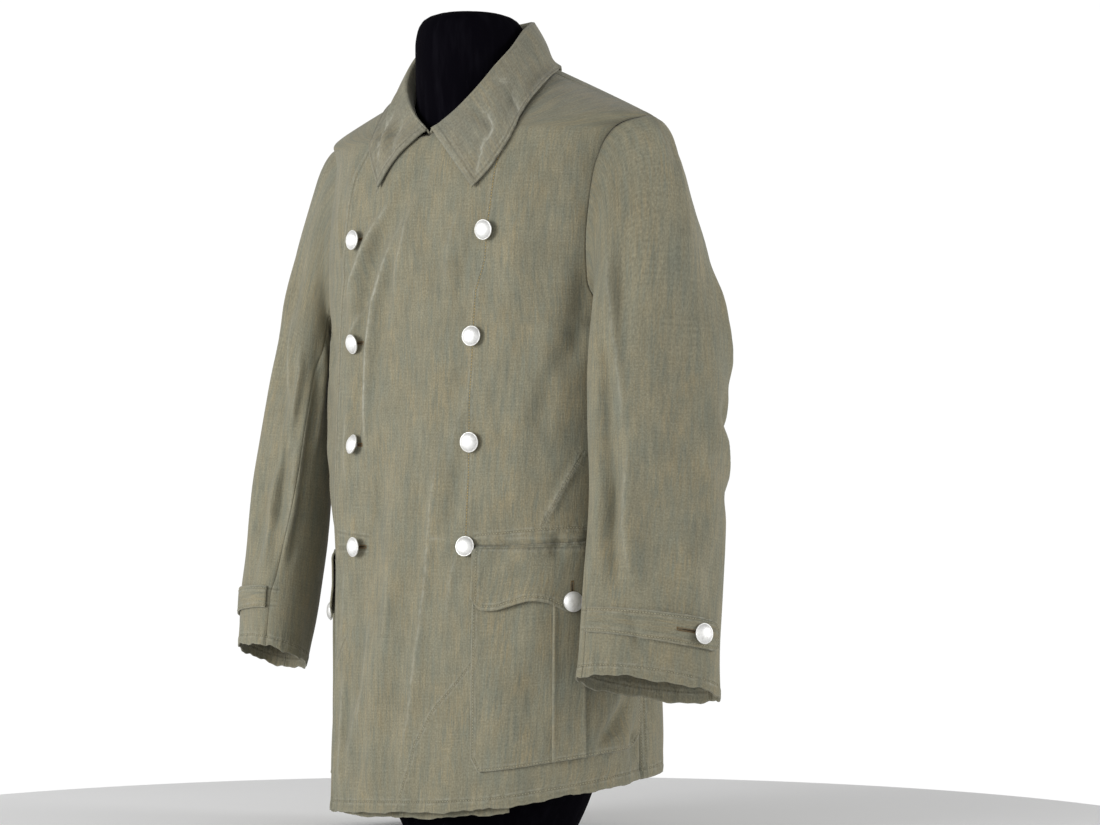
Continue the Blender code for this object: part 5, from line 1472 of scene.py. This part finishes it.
# %% Sewing along paths
def sew(name, runs, pitch, length, radius, look, turn=0.0):
    """Stitches along each run, a run being points and outward directions, as one plain mesh."""
    points = np.concatenate([spots + outs * radius * 0.25 for spots, outs in runs])
    outs = np.concatenate([outs for _, outs in runs])
    edges = []
    first = 0
    for spots, _ in runs:
        edges += [(first + k, first + k + 1) for k in range(len(spots) - 1)]
        first += len(spots)
    mesh = bpy.data.meshes.new(name + "_paths")
    mesh.from_pydata(points.tolist(), edges, [])
    attribute = mesh.attributes.new("outward", "FLOAT_VECTOR", "POINT")
    attribute.data.foreach_set("vector", outs.astype(np.float32).reshape(-1))
    guide = bpy.data.objects.new(name + "_paths", mesh)
    bpy.context.scene.collection.objects.link(guide)
    modifier = guide.modifiers.new("stitches", "NODES")
    modifier.node_group = stitch_tree
    for key, value in (("Pitch", pitch), ("Stitch length", length), ("Thread radius", radius), ("Turn", turn), ("Thread", look)):
        modifier[stitch_inputs[key]] = value
    bpy.context.view_layer.update()
    ready = guide.evaluated_get(bpy.context.evaluated_depsgraph_get())
    sewn = bpy.data.meshes.new_from_object(ready)
    sewn.name = name
    guide.modifiers.remove(modifier)
    bpy.data.objects.remove(guide, do_unlink=True)
    sewn.shade_smooth()
    piece = bpy.data.objects.new(name, sewn)
    bpy.context.scene.collection.objects.link(piece)
    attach(piece, "root")
    print(name, len(runs), "runs,", len(sewn.polygons), "faces")
    return piece


def evenly(path, step=0.004):
    """A path in table places made dense, a point every step metres or so in its own units."""
    path = np.array(path, float)
    dense = []
    for start, end in zip(path[:-1], path[1:]):
        count = max(2, int(np.linalg.norm((end - start) * (BODY_METRES_PER_DEG, 1.0)) / step))
        dense += [start + (end - start) * k / count for k in range(count)]
    return np.array(dense + [path[-1]])


def on_front(path, side=1, lift=0.0):
    """A run on a front, from places given as degrees and height above the floor."""
    path = evenly(path)
    points, normals, _ = front(path[:, 0], row_at(path[:, 1], path[:, 0], side), side, lift)
    return points, normals


def on_body_rows(degs, rows, side, back=False, lift=0.0):
    degs, rows = np.broadcast_arrays(np.asarray(degs, float), np.asarray(rows, float))
    points, normals, _ = body(degs, rows, side, back, lift) if back else front(degs, rows, side, lift)
    return points, normals


def on_sleeve(shares, places, side, lift=0.0):
    shares, places = np.broadcast_arrays(np.asarray(shares, float), np.asarray(places, float))
    points, normals, _ = sleeve(shares % 1.0, places, side, lift)
    return points, normals


STITCH_BACK = 0.0055  # topstitching lies this far in from an edge
print("stitching", STITCH_BACK * 1000, "mm from the edges")

# %% Seams of the body
fine_runs = []
hem_degs = np.linspace(-38.0, 93.0, 220)
fine_runs.append(on_body_rows(hem_degs, HEM_TURN, 1, lift=EDGE_PUFF * 0.4))
fine_runs.append(on_body_rows(np.linspace(12.0, 93.0, 130), HEM_TURN, -1))
for side in (1, -1):
    fine_runs.append(on_body_rows(np.linspace(0.5, 85.0, 140), HEM_TURN, side, True))
edge_rows = np.linspace(0.006, THROAT_ROW - 0.006, 260)
edge_inset = STITCH_BACK / BODY_METRES_PER_DEG
fine_runs.append(on_body_rows(-free_edge(edge_rows, 1) + edge_inset, edge_rows, 1))
seam_rows = np.linspace(0.010, ARMPIT_ROW - 0.004, 180)
for side in (1, -1):
    for inset in (1.0, 3.2):
        fine_runs.append(on_body_rows(86.0 - inset, seam_rows, side, True))
    shoulder = np.linspace(8.0, 74.0, 70)
    fine_runs.append(on_body_rows(shoulder, 0.866, side, True))
    fine_runs.append(on_front([(21.5, 0.320), (37.5, 0.324), (52.8, 0.327), (68.5, 0.329), (93.0, 0.330)], side))
    for height in (0.3085, 0.3055):
        fine_runs.append(on_front([(21.0, height), (43.5, height), (68.7, height + 0.002), (93.0, height + 0.004)], side))
    fine_runs.append(on_front([(60.8, 0.396), (55.0, 0.373), (46.1, 0.331)], side))
    fine_runs.append(on_front([(20.2, 0.188), (7.1, 0.138), (1.9, 0.103), (-0.5, 0.060), (-1.8, 0.034)], 1) if side > 0 else
                     on_body_rows(np.linspace(30.0, 38.0, 12), np.linspace(0.188, 0.150, 12), -1))
print(len(fine_runs), "runs on the body")

# %% Seams of the pockets, flaps, collar, straps and cuffs
def pocket_runs(side):
    start = POCKET_START[side]
    inset = 0.0022
    deg_inset = inset / BODY_METRES_PER_DEG
    end = POCKET_END - deg_inset
    first = start + deg_inset
    corners = [(first, 0.280), (first, POCKET_ROWS_SPAN[0] + CORNER_RISE + 0.001),
               (first + CORNER_DEG * 0.92, POCKET_ROWS_SPAN[0] + inset), (end - CORNER_DEG * 0.92, POCKET_ROWS_SPAN[0] + inset),
               (end, POCKET_ROWS_SPAN[0] + CORNER_RISE + 0.001), (end, 0.280)]
    if side < 0:
        corners = [(first, POCKET_ROWS_SPAN[0] + inset)] + corners[3:]
    path = evenly(corners, 0.003)
    points, normals, _ = front(path[:, 0], path[:, 1], side, POCKET_GAP + WALL + pleat_lift(path[:, 0]) + 0.0002)
    return [(points, normals)]


def flap_runs(side):
    start = POCKET_START[side] + 1.6
    degs = np.linspace(start, 92.0, 120)
    depth = column(FLAP_DEPTHS, FLAP_COLUMNS, "depth", degs) - STITCH_BACK
    share = depth / (depth + STITCH_BACK)
    points, normals, _ = front(degs, FLAP_TOP_ROW - depth, side, flap_lift(degs, share) + FLAP_WALL)
    runs = [(points, normals)]
    if side > 0:
        down = np.linspace(0.06, 0.86, 26)
        depth = column(FLAP_DEPTHS, FLAP_COLUMNS, "depth", start)
        points, normals, _ = front(np.full(26, start), FLAP_TOP_ROW - depth * down, side, flap_lift(start, down) + FLAP_WALL)
        runs.append((points, normals))
    return runs


def collar_runs(side):
    shares = np.linspace(0.0, 1.0, 150)
    at = np.array([6.70, 6.78, 6.86])
    points, normals = collar_surface(shares, at, side)[:2]
    last = np.searchsorted(shares, 0.975)
    edge_run = (points[1, :last] + normals[1, :last] * COLLAR_WALL / 2, normals[1, :last])
    at = np.linspace(4.1, 6.78, 40)
    shares = np.linspace(0.955, 0.995, 3)
    points, normals = collar_surface(shares, at, side)[:2]
    return [edge_run, (points[:, 1] + normals[:, 1] * COLLAR_WALL / 2, normals[:, 1])]


def strap_runs(side):
    shares = np.concatenate([np.linspace(STRAP_START, STRAP_END - STRAP_ROUND, 60), STRAP_END - STRAP_ROUND
                             + (STRAP_ROUND - 0.009) * np.sin(np.linspace(0, math.pi / 2, 12))[1:]])
    lift = GAP + 0.0003 + FLAP_WALL + 0.0010 * smooth(0.55, 0.66, shares)
    upper = on_sleeve(shares, strap_place(shares, 0.90), side, lift)
    lower = on_sleeve(shares, strap_place(shares, 0.10), side, lift)
    points = np.concatenate([upper[0], lower[0][::-1]])
    normals = np.concatenate([upper[1], lower[1][::-1]])
    return [(points, normals)]


for side in (1, -1):
    fine_runs += pocket_runs(side) + flap_runs(side) + collar_runs(side) + strap_runs(side)
    around = np.linspace(0.0, 0.997, 150)
    fine_runs.append(on_sleeve(around, 2 - 0.011 / TUBE_LENGTH, side, 0.0001))
    rear = np.linspace(1.0, 1.985, 110)
    fine_runs.append(on_sleeve(REAR_SEAM_SHARE - 0.008, rear, side))
row_line = [(26.6, 0.716), (23.8, 0.664), (22.4, 0.640), (21.4, 0.603), (18.4, 0.573), (17.4, 0.526), (16.8, 0.480), (16.9, 0.418), (17.4, 0.316)]
row_runs = [on_front(row_line)]
sewing_lines = fine_runs + row_runs
print(len(sewing_lines), "sewing lines")

# %% Where the creases are rubbed
def body_run(path):
    """A run on whichever body panel these places lie, counted round the body from the front centre."""
    mean_deg = np.mean([deg for deg, _ in path])
    if -42 < mean_deg < 95:
        return on_front(path, 1)
    if -95 < mean_deg <= -42:
        return on_front([(-deg, z) for deg, z in path], -1)
    dense = evenly(path)
    rows = row_at(dense[:, 1], dense[:, 0], 1)
    return on_body_rows(180 - abs(dense[:, 0]), rows, 1 if mean_deg > 0 else -1, True)


def dense_line(path, count=30):
    path = np.array(path, float)
    places = np.linspace(0, len(path) - 1, count)
    return np.stack([np.interp(places, range(len(path)), path[:, k]) for k in (0, 1)], -1)


collar_grid_shares = np.linspace(0, 1, 160)
collar_grid_at = np.linspace(LEAF_START, PROFILE_POINTS - 1, 60)
for width, rise, worn, *path in BODY_CREASES:
    if worn > 0.15:
        ridge_lines.append(body_run(path))
for side in (1, -1):
    grid_points, grid_normals = collar_surface(collar_grid_shares, collar_grid_at, side)[:2]
    for which, width, rise, worn, *path in COLLAR_CREASES:
        if worn > 0.15 and which in (0, side):
            line = dense_line(path)
            across = (line[:, 0] * 159).astype(int)
            down = np.clip(line[:, 1] * 59, 0, 59).astype(int)
            ridge_lines.append((grid_points[down, across], grid_normals[down, across]))
    for which, width, rise, worn, *path in SLEEVE_CREASES:
        if worn > 0.15 and which in (0, side):
            line = dense_line(path)
            ridge_lines.append(on_sleeve(line[:, 0], line[:, 1], side))
print(len(ridge_lines), "rubbed creases")

# %% [markdown]
# Now every panel is made. Each one knows where the sewing runs, so its cloth is drawn in along those lines.

# %% Make the panels and sew them
build_front("left_front", 1)
build_front("right_front", -1)
build_back()
build_collar()
for side, label in ((1, "left"), (-1, "right")):
    build_sleeve(label, side, "upper")
    build_sleeve(label, side, "under")
    build_pocket(label, side)
    build_flap(label, side)
    build_strap(label, side)
sew("seam_stitches", fine_runs, 0.0030, 0.0024, 0.00034, tan_thread)
sew("button_row_stitches", row_runs, 0.0030, 0.0025, 0.00038, ochre_thread)


# %% [markdown]
# Buttonholes: a narrow slit, shown by a dark strip of painted shadow, whipped round with short close stitches that
# stand across its edge.
# The far front's holes run level, the flap's stands upright and the strap's points along the strap.

# %% Buttonholes
SLIT_HALF_WIDTH = 0.0006
WHIP_OFFSET = 0.0013


def buttonhole(centre_line, normals):
    """The ring of whip stitches round a slit, and the slit's narrow strip of painted shadow, from its middle line."""
    along = np.gradient(centre_line, axis=0)
    along /= np.linalg.norm(along, axis=1, keepdims=True)
    across = np.cross(normals, along)
    left = centre_line + across * WHIP_OFFSET
    right = centre_line - across * WHIP_OFFSET
    ring = np.concatenate([left, right[::-1], left[:1]])
    outs = np.concatenate([normals, normals[::-1], normals[:1]])
    taper = np.sin(np.linspace(0.12, math.pi - 0.12, len(centre_line)))[:, None]
    strip = (centre_line + across * SLIT_HALF_WIDTH * taper + normals * 0.00025,
             centre_line - across * SLIT_HALF_WIDTH * taper + normals * 0.00025)
    return (ring, outs), strip


holes = []
cad_button = {name: sum(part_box(name), Vector()) / 2 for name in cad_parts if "button" in name}
far_row_holes = [f"front_button_right_{number}" for number in range(1, 5)]
for name in far_row_holes:
    spot = cad_button[name]
    z = spot.z
    start_x = spot.x - 0.0085
    xs = np.linspace(start_x, start_x + 0.0215, 12)
    row = row_at(np.full(12, z), 0.0)
    degs = deg_of_x(xs, row)
    holes.append(buttonhole(*on_body_rows(degs, row_at(np.full(12, z), degs, 1), 1)))
for side in (1, -1):
    down = np.linspace(0.046, 0.071, 12)
    degs = np.full(12, 58.0)
    whole = column(FLAP_DEPTHS, FLAP_COLUMNS, "depth", 58.0)
    points, normals, _ = front(degs, FLAP_TOP_ROW - down, side, flap_lift(degs, down / whole) + FLAP_WALL)
    holes.append(buttonhole(points, normals))
    shares = np.linspace(0.540, 0.606, 12)
    holes.append(buttonhole(*on_sleeve(shares, strap_place(shares, 0.5), side,
                                       GAP + 0.0003 + FLAP_WALL + 0.0010 * smooth(0.55, 0.66, shares))))
sew("buttonhole_stitches", [ring for ring, _ in holes], 0.00085, 0.0021, 0.00028, brown_thread, math.pi / 2)


def build_slits(strips):
    work = bmesh.new()
    for upper, lower in strips:
        top = [work.verts.new(spot) for spot in upper]
        bottom = [work.verts.new(spot) for spot in lower]
        for k in range(len(top) - 1):
            work.faces.new((bottom[k], bottom[k + 1], top[k + 1], top[k]))
    mesh = bpy.data.meshes.new("buttonhole_slits")
    work.to_mesh(mesh)
    work.free()
    mesh.materials.append(slit_painted_shadow)
    piece = bpy.data.objects.new("buttonhole_slits", mesh)
    bpy.context.scene.collection.objects.link(piece)
    wallmaker = piece.modifiers.new("wall", "SOLIDIFY")
    wallmaker.thickness = 0.0003
    wallmaker.offset = -1
    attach(piece, "root")


build_slits([strip for _, strip in holes])
print(len(holes), "buttonholes")

# %% [markdown]
# Buttons: two-part domed aluminium buttons with a pebbled face, a narrow plain rim and a shank. Each
# stands where its solid does. They hang a little differently on their threads, so each is tipped its own way.

# %% Buttons
BUTTON_RADIUS = 0.0105
BUTTON_SEGMENTS = 48
# Columns: share of the radius, height in metres
BUTTON_PROFILE = (
    (0.000, 0.0000), (0.260, 0.0000), (0.300, 0.0004), (0.300, 0.0032), (0.340, 0.0036), (0.780, 0.0038), (0.900, 0.0040),
    (0.960, 0.0043), (0.993, 0.0048), (1.000, 0.0053), (0.990, 0.0058), (0.965, 0.0061), (0.945, 0.0060), (0.925, 0.0061),
    (0.890, 0.0066), (0.820, 0.0073), (0.720, 0.0081), (0.600, 0.0088), (0.460, 0.0093), (0.310, 0.0096), (0.160, 0.00975),
    (0.000, 0.0098),
)
PEBBLE_FROM = 13
PEBBLE_HEIGHT = 0.00010


def button_mesh(name, seed):
    random = np.random.default_rng(seed)
    work = bmesh.new()
    rings = []
    for index, (share, height) in enumerate(BUTTON_PROFILE):
        if share == 0.0:
            rings.append([work.verts.new((0, 0, height))])
            continue
        ring = []
        for k in range(BUTTON_SEGMENTS):
            angle = 2 * math.pi * k / BUTTON_SEGMENTS
            bumped = height + (PEBBLE_HEIGHT * random.uniform(-1, 1) if index > PEBBLE_FROM else 0.0)
            ring.append(work.verts.new((BUTTON_RADIUS * share * math.cos(angle), BUTTON_RADIUS * share * math.sin(angle), bumped)))
        rings.append(ring)
    for low, high in zip(rings, rings[1:]):
        for k in range(BUTTON_SEGMENTS):
            n = (k + 1) % BUTTON_SEGMENTS
            corners = [low[k % len(low)], low[n % len(low)], high[n % len(high)], high[k % len(high)]]
            corners = [vert for i, vert in enumerate(corners) if vert not in corners[:i]]
            work.faces.new(corners)
    bmesh.ops.recalc_face_normals(work, faces=work.faces)
    mesh = bpy.data.meshes.new(name)
    work.to_mesh(mesh)
    work.free()
    mesh.shade_smooth()
    mesh.materials.append(button_metal)
    return mesh


def solid_axis(node):
    """Seat and outward axis of a CAD button, from its own points."""
    spots = np.unique(np.array([vert.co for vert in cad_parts[node].data.vertices]).round(6), axis=0)
    centre = spots.mean(0)
    values, vectors = np.linalg.eigh(np.cov((spots - centre).T))
    axis = vectors[:, 0]
    outward = centre - np.array([0.0, 0.0, centre[2]])
    if "cuff" in node:
        outward = centre - np.array([0.257 * np.sign(centre[0]), -0.06, centre[2]])
    axis = axis * np.sign(axis @ outward)
    heights = (spots - centre) @ axis
    return centre + axis * heights.min(), axis


BUTTON_SINKS = {"pocket_button_right": 0.0022}  # the cloth under it hangs deeper than its solid
BUTTON_TILTS_DEG = {
    "front_button_left_1": (4, -3), "front_button_left_2": (-3, 5), "front_button_left_3": (5, 6), "front_button_left_4": (-5, 4),
    "front_button_right_1": (4, 8), "front_button_right_2": (9, -6), "front_button_right_3": (-12, -10),
    "front_button_right_4": (3, -9), "pocket_button_left": (-6, 10), "cuff_button_left": (4, -4),
    "pocket_button_right": (5, 3), "cuff_button_right": (-4, 5),
}
for seed, (name, (tilt_x, tilt_y)) in enumerate(BUTTON_TILTS_DEG.items()):
    seat, axis = solid_axis(name)
    seat = seat - axis * BUTTON_SINKS.get(name, 0.0)
    mesh = button_mesh(f"{name}_metal", seed)
    tip = Matrix.Rotation(math.radians(tilt_x), 4, "X") @ Matrix.Rotation(math.radians(tilt_y), 4, "Y")
    stand = Vector((0, 0, 1)).rotation_difference(Vector(axis)).to_matrix().to_4x4()
    mesh.transform(Matrix.Translation(Vector(seat)) @ stand @ tip)
    button = bpy.data.objects.new(f"{name}_metal", mesh)
    bpy.context.scene.collection.objects.link(button)
    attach(button, "root")
    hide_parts(name)
print(len(BUTTON_TILTS_DEG), "buttons")

# %% [markdown]
# The dress form: a limbless torso block with a domed neck, covered in black jersey that is sewn in
# upright gores. Lofting fine rings gives a smoother neck than the solid has, and two lofts are joined by a Boolean.

# %% Dress form
FORM_SEGMENTS = 96
# Columns: z, half_width, front, back
FORM_BODY = (
    (0.0000, 0.0900, 0.0780, 0.0780), (0.0060, 0.0950, 0.0830, 0.0830), (0.1000, 0.1350, 0.1000, 0.0960),
    (0.2500, 0.1620, 0.1060, 0.1040), (0.4000, 0.1550, 0.0980, 0.0980), (0.5400, 0.1700, 0.1020, 0.1060),
    (0.6400, 0.1730, 0.1000, 0.1060), (0.7000, 0.1750, 0.0920, 0.0990), (0.7300, 0.1850, 0.0700, 0.0800),
    (0.7400, 0.1940, 0.0580, 0.0660), (0.7480, 0.2040, 0.0380, 0.0420), (0.7560, 0.1985, 0.0380, 0.0380),
    (0.7700, 0.1678, 0.0340, 0.0380), (0.7850, 0.1325, 0.0270, 0.0300), (0.8000, 0.0973, 0.0190, 0.0220),
    (0.8090, 0.0762, 0.0120, 0.0140),
)
FORM_NECK_CENTRE_Y = -0.033
FORM_NECK = (
    (0.6900, 0.0500, 0.0450, 0.0600), (0.7600, 0.0560, 0.0560, 0.0600), (0.8100, 0.0575, 0.0600, 0.0600),
    (0.8400, 0.0580, 0.0602, 0.0605), (0.8570, 0.0552, 0.0578, 0.0590), (0.8670, 0.0490, 0.0520, 0.0530),
    (0.8725, 0.0375, 0.0400, 0.0410), (0.8748, 0.0200, 0.0220, 0.0230),
)
GORE_EVERY = 12  # segments between two upright seams
GORE_DEPTH = 0.0007


def form_loft(name, table, centre_y, exponent, ring_count):
    heights = np.linspace(table[0][0], table[-1][0], ring_count)
    heights = np.unique(np.concatenate([heights, [row[0] for row in table]]))
    work = bmesh.new()
    loops = []
    for z in heights:
        half_width, front_depth, back_depth = (float(monotone(table, place, z)) for place in (1, 2, 3))
        loop = []
        for k in range(FORM_SEGMENTS):
            angle = 2 * math.pi * k / FORM_SEGMENTS
            c, s = math.cos(angle), math.sin(angle)
            depth = front_depth if c > 0 else back_depth
            shrink = 1 - (GORE_DEPTH / half_width if k % GORE_EVERY == 0 else 0.0)
            x = half_width * math.copysign(abs(s) ** exponent, s) * shrink
            y = centre_y - depth * math.copysign(abs(c) ** exponent, c) * shrink
            loop.append(work.verts.new((x, y, z)))
        loops.append(loop)
    for low, high in zip(loops, loops[1:]):
        for k in range(FORM_SEGMENTS):
            n = (k + 1) % FORM_SEGMENTS
            work.faces.new((low[k], low[n], high[n], high[k]))
    work.faces.new(loops[0][::-1])
    work.faces.new(loops[-1])
    mesh = bpy.data.meshes.new(name)
    work.to_mesh(mesh)
    work.free()
    made = bpy.data.objects.new(name, mesh)
    bpy.context.scene.collection.objects.link(made)
    return made


torso = form_loft("form_torso", FORM_BODY, 0.0, 0.93, 70)
neck = form_loft("form_neck", FORM_NECK, FORM_NECK_CENTRE_Y, 1.0, 40)
join = torso.modifiers.new("neck", "BOOLEAN")
join.operation = "UNION"
join.solver = "EXACT"
join.object = neck
bpy.context.view_layer.update()
form_mesh = bpy.data.meshes.new_from_object(torso.evaluated_get(bpy.context.evaluated_depsgraph_get()))
form_mesh.name = "form_jersey"
form_mesh.materials.clear()
form_mesh.materials.append(form_cloth)
form_mesh.shade_smooth()
bpy.data.objects.remove(torso, do_unlink=True)
bpy.data.objects.remove(neck, do_unlink=True)
form = bpy.data.objects.new("form_jersey", form_mesh)
bpy.context.scene.collection.objects.link(form)
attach(form, "root")
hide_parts("dress_form")
print("form:", len(form_mesh.polygons), "faces")

# %% [markdown]

# %% [markdown]
# The set is a round pale floor, a large soft light from the camera's left,
# a weaker one from its right and a white sky that dims overhead and below, as in a photographer's white booth.

# %% Floor and lights
FLOOR_RADIUS = 0.80


def build_floor():
    mesh = bpy.data.meshes.new("floor")
    low, corners = -0.0005, 128
    turns = [math.tau * corner / corners for corner in range(corners)]
    rim = [(FLOOR_RADIUS * math.cos(turn), FLOOR_RADIUS * math.sin(turn), low) for turn in turns]
    mesh.from_pydata(rim, [], [tuple(range(corners))])
    made, tree, shader = new_material("pale_floor", 0.9)
    where = tree.nodes.new("ShaderNodeTexCoord")
    faint = noise_node(tree, where.outputs["Object"], (3, 3, 3), 2, "faint")
    link(tree, mix_colours(tree, faint, (0.88, 0.88, 0.88, 1), (0.91, 0.91, 0.91, 1)), shader.inputs["Base Color"])
    mesh.materials.append(made)
    floor = bpy.data.objects.new("floor", mesh)
    bpy.context.scene.collection.objects.link(floor)


build_floor()


def soft_light(name, azimuth_deg, elevation_deg, distance, size, watts):
    """An area light that looks at the chest, placed by its angle from the wearer's front."""
    data = bpy.data.lights.new(name, "AREA")
    data.shape = "SQUARE"
    data.size = size
    data.energy = watts
    made = bpy.data.objects.new(name, data)
    azimuth, elevation = math.radians(azimuth_deg), math.radians(elevation_deg)
    made.location = (
        distance * math.cos(elevation) * math.sin(azimuth),
        -distance * math.cos(elevation) * math.cos(azimuth),
        0.5 + distance * math.sin(elevation),
    )
    made.rotation_euler = (Vector((0, 0, 0.5)) - made.location).to_track_quat("-Z", "Y").to_euler()
    bpy.context.scene.collection.objects.link(made)


soft_light("key", -19.0, 7.0, 3.2, 1.4, 78.0)
soft_light("fill", 112.0, 7.0, 3.2, 1.0, 40.0)


def booth_sky():
    """White all round the coat and dimmer overhead, as the lamps of a booth stand beside it."""
    world = bpy.data.worlds.new("white_booth")
    world.use_nodes = True
    tree = world.node_tree
    background = tree.nodes["Background"]
    background.inputs["Color"].default_value = (1.0, 1.0, 1.0, 1.0)
    direction = tree.nodes.new("ShaderNodeTexCoord")
    parts = tree.nodes.new("ShaderNodeSeparateXYZ")
    link(tree, direction.outputs["Generated"], parts.inputs[0])
    dimmed = []
    for edge, far, least in ((0.22, 0.85, 0.25), (-0.10, -0.60, 0.55)):
        dimmer = tree.nodes.new("ShaderNodeMapRange")
        dimmer.inputs["From Min"].default_value = edge
        dimmer.inputs["From Max"].default_value = far
        dimmer.inputs["To Min"].default_value = 1.02
        dimmer.inputs["To Max"].default_value = least
        link(tree, parts.outputs[2], dimmer.inputs["Value"])
        dimmed.append(dimmer.outputs["Result"])
    link(tree, math_node(tree, "MINIMUM", dimmed[0], dimmed[1]), background.inputs["Strength"])
    return world


world = booth_sky()
bpy.context.scene.world = world
bpy.context.scene.view_settings.view_transform = "Standard"
print("lights set")
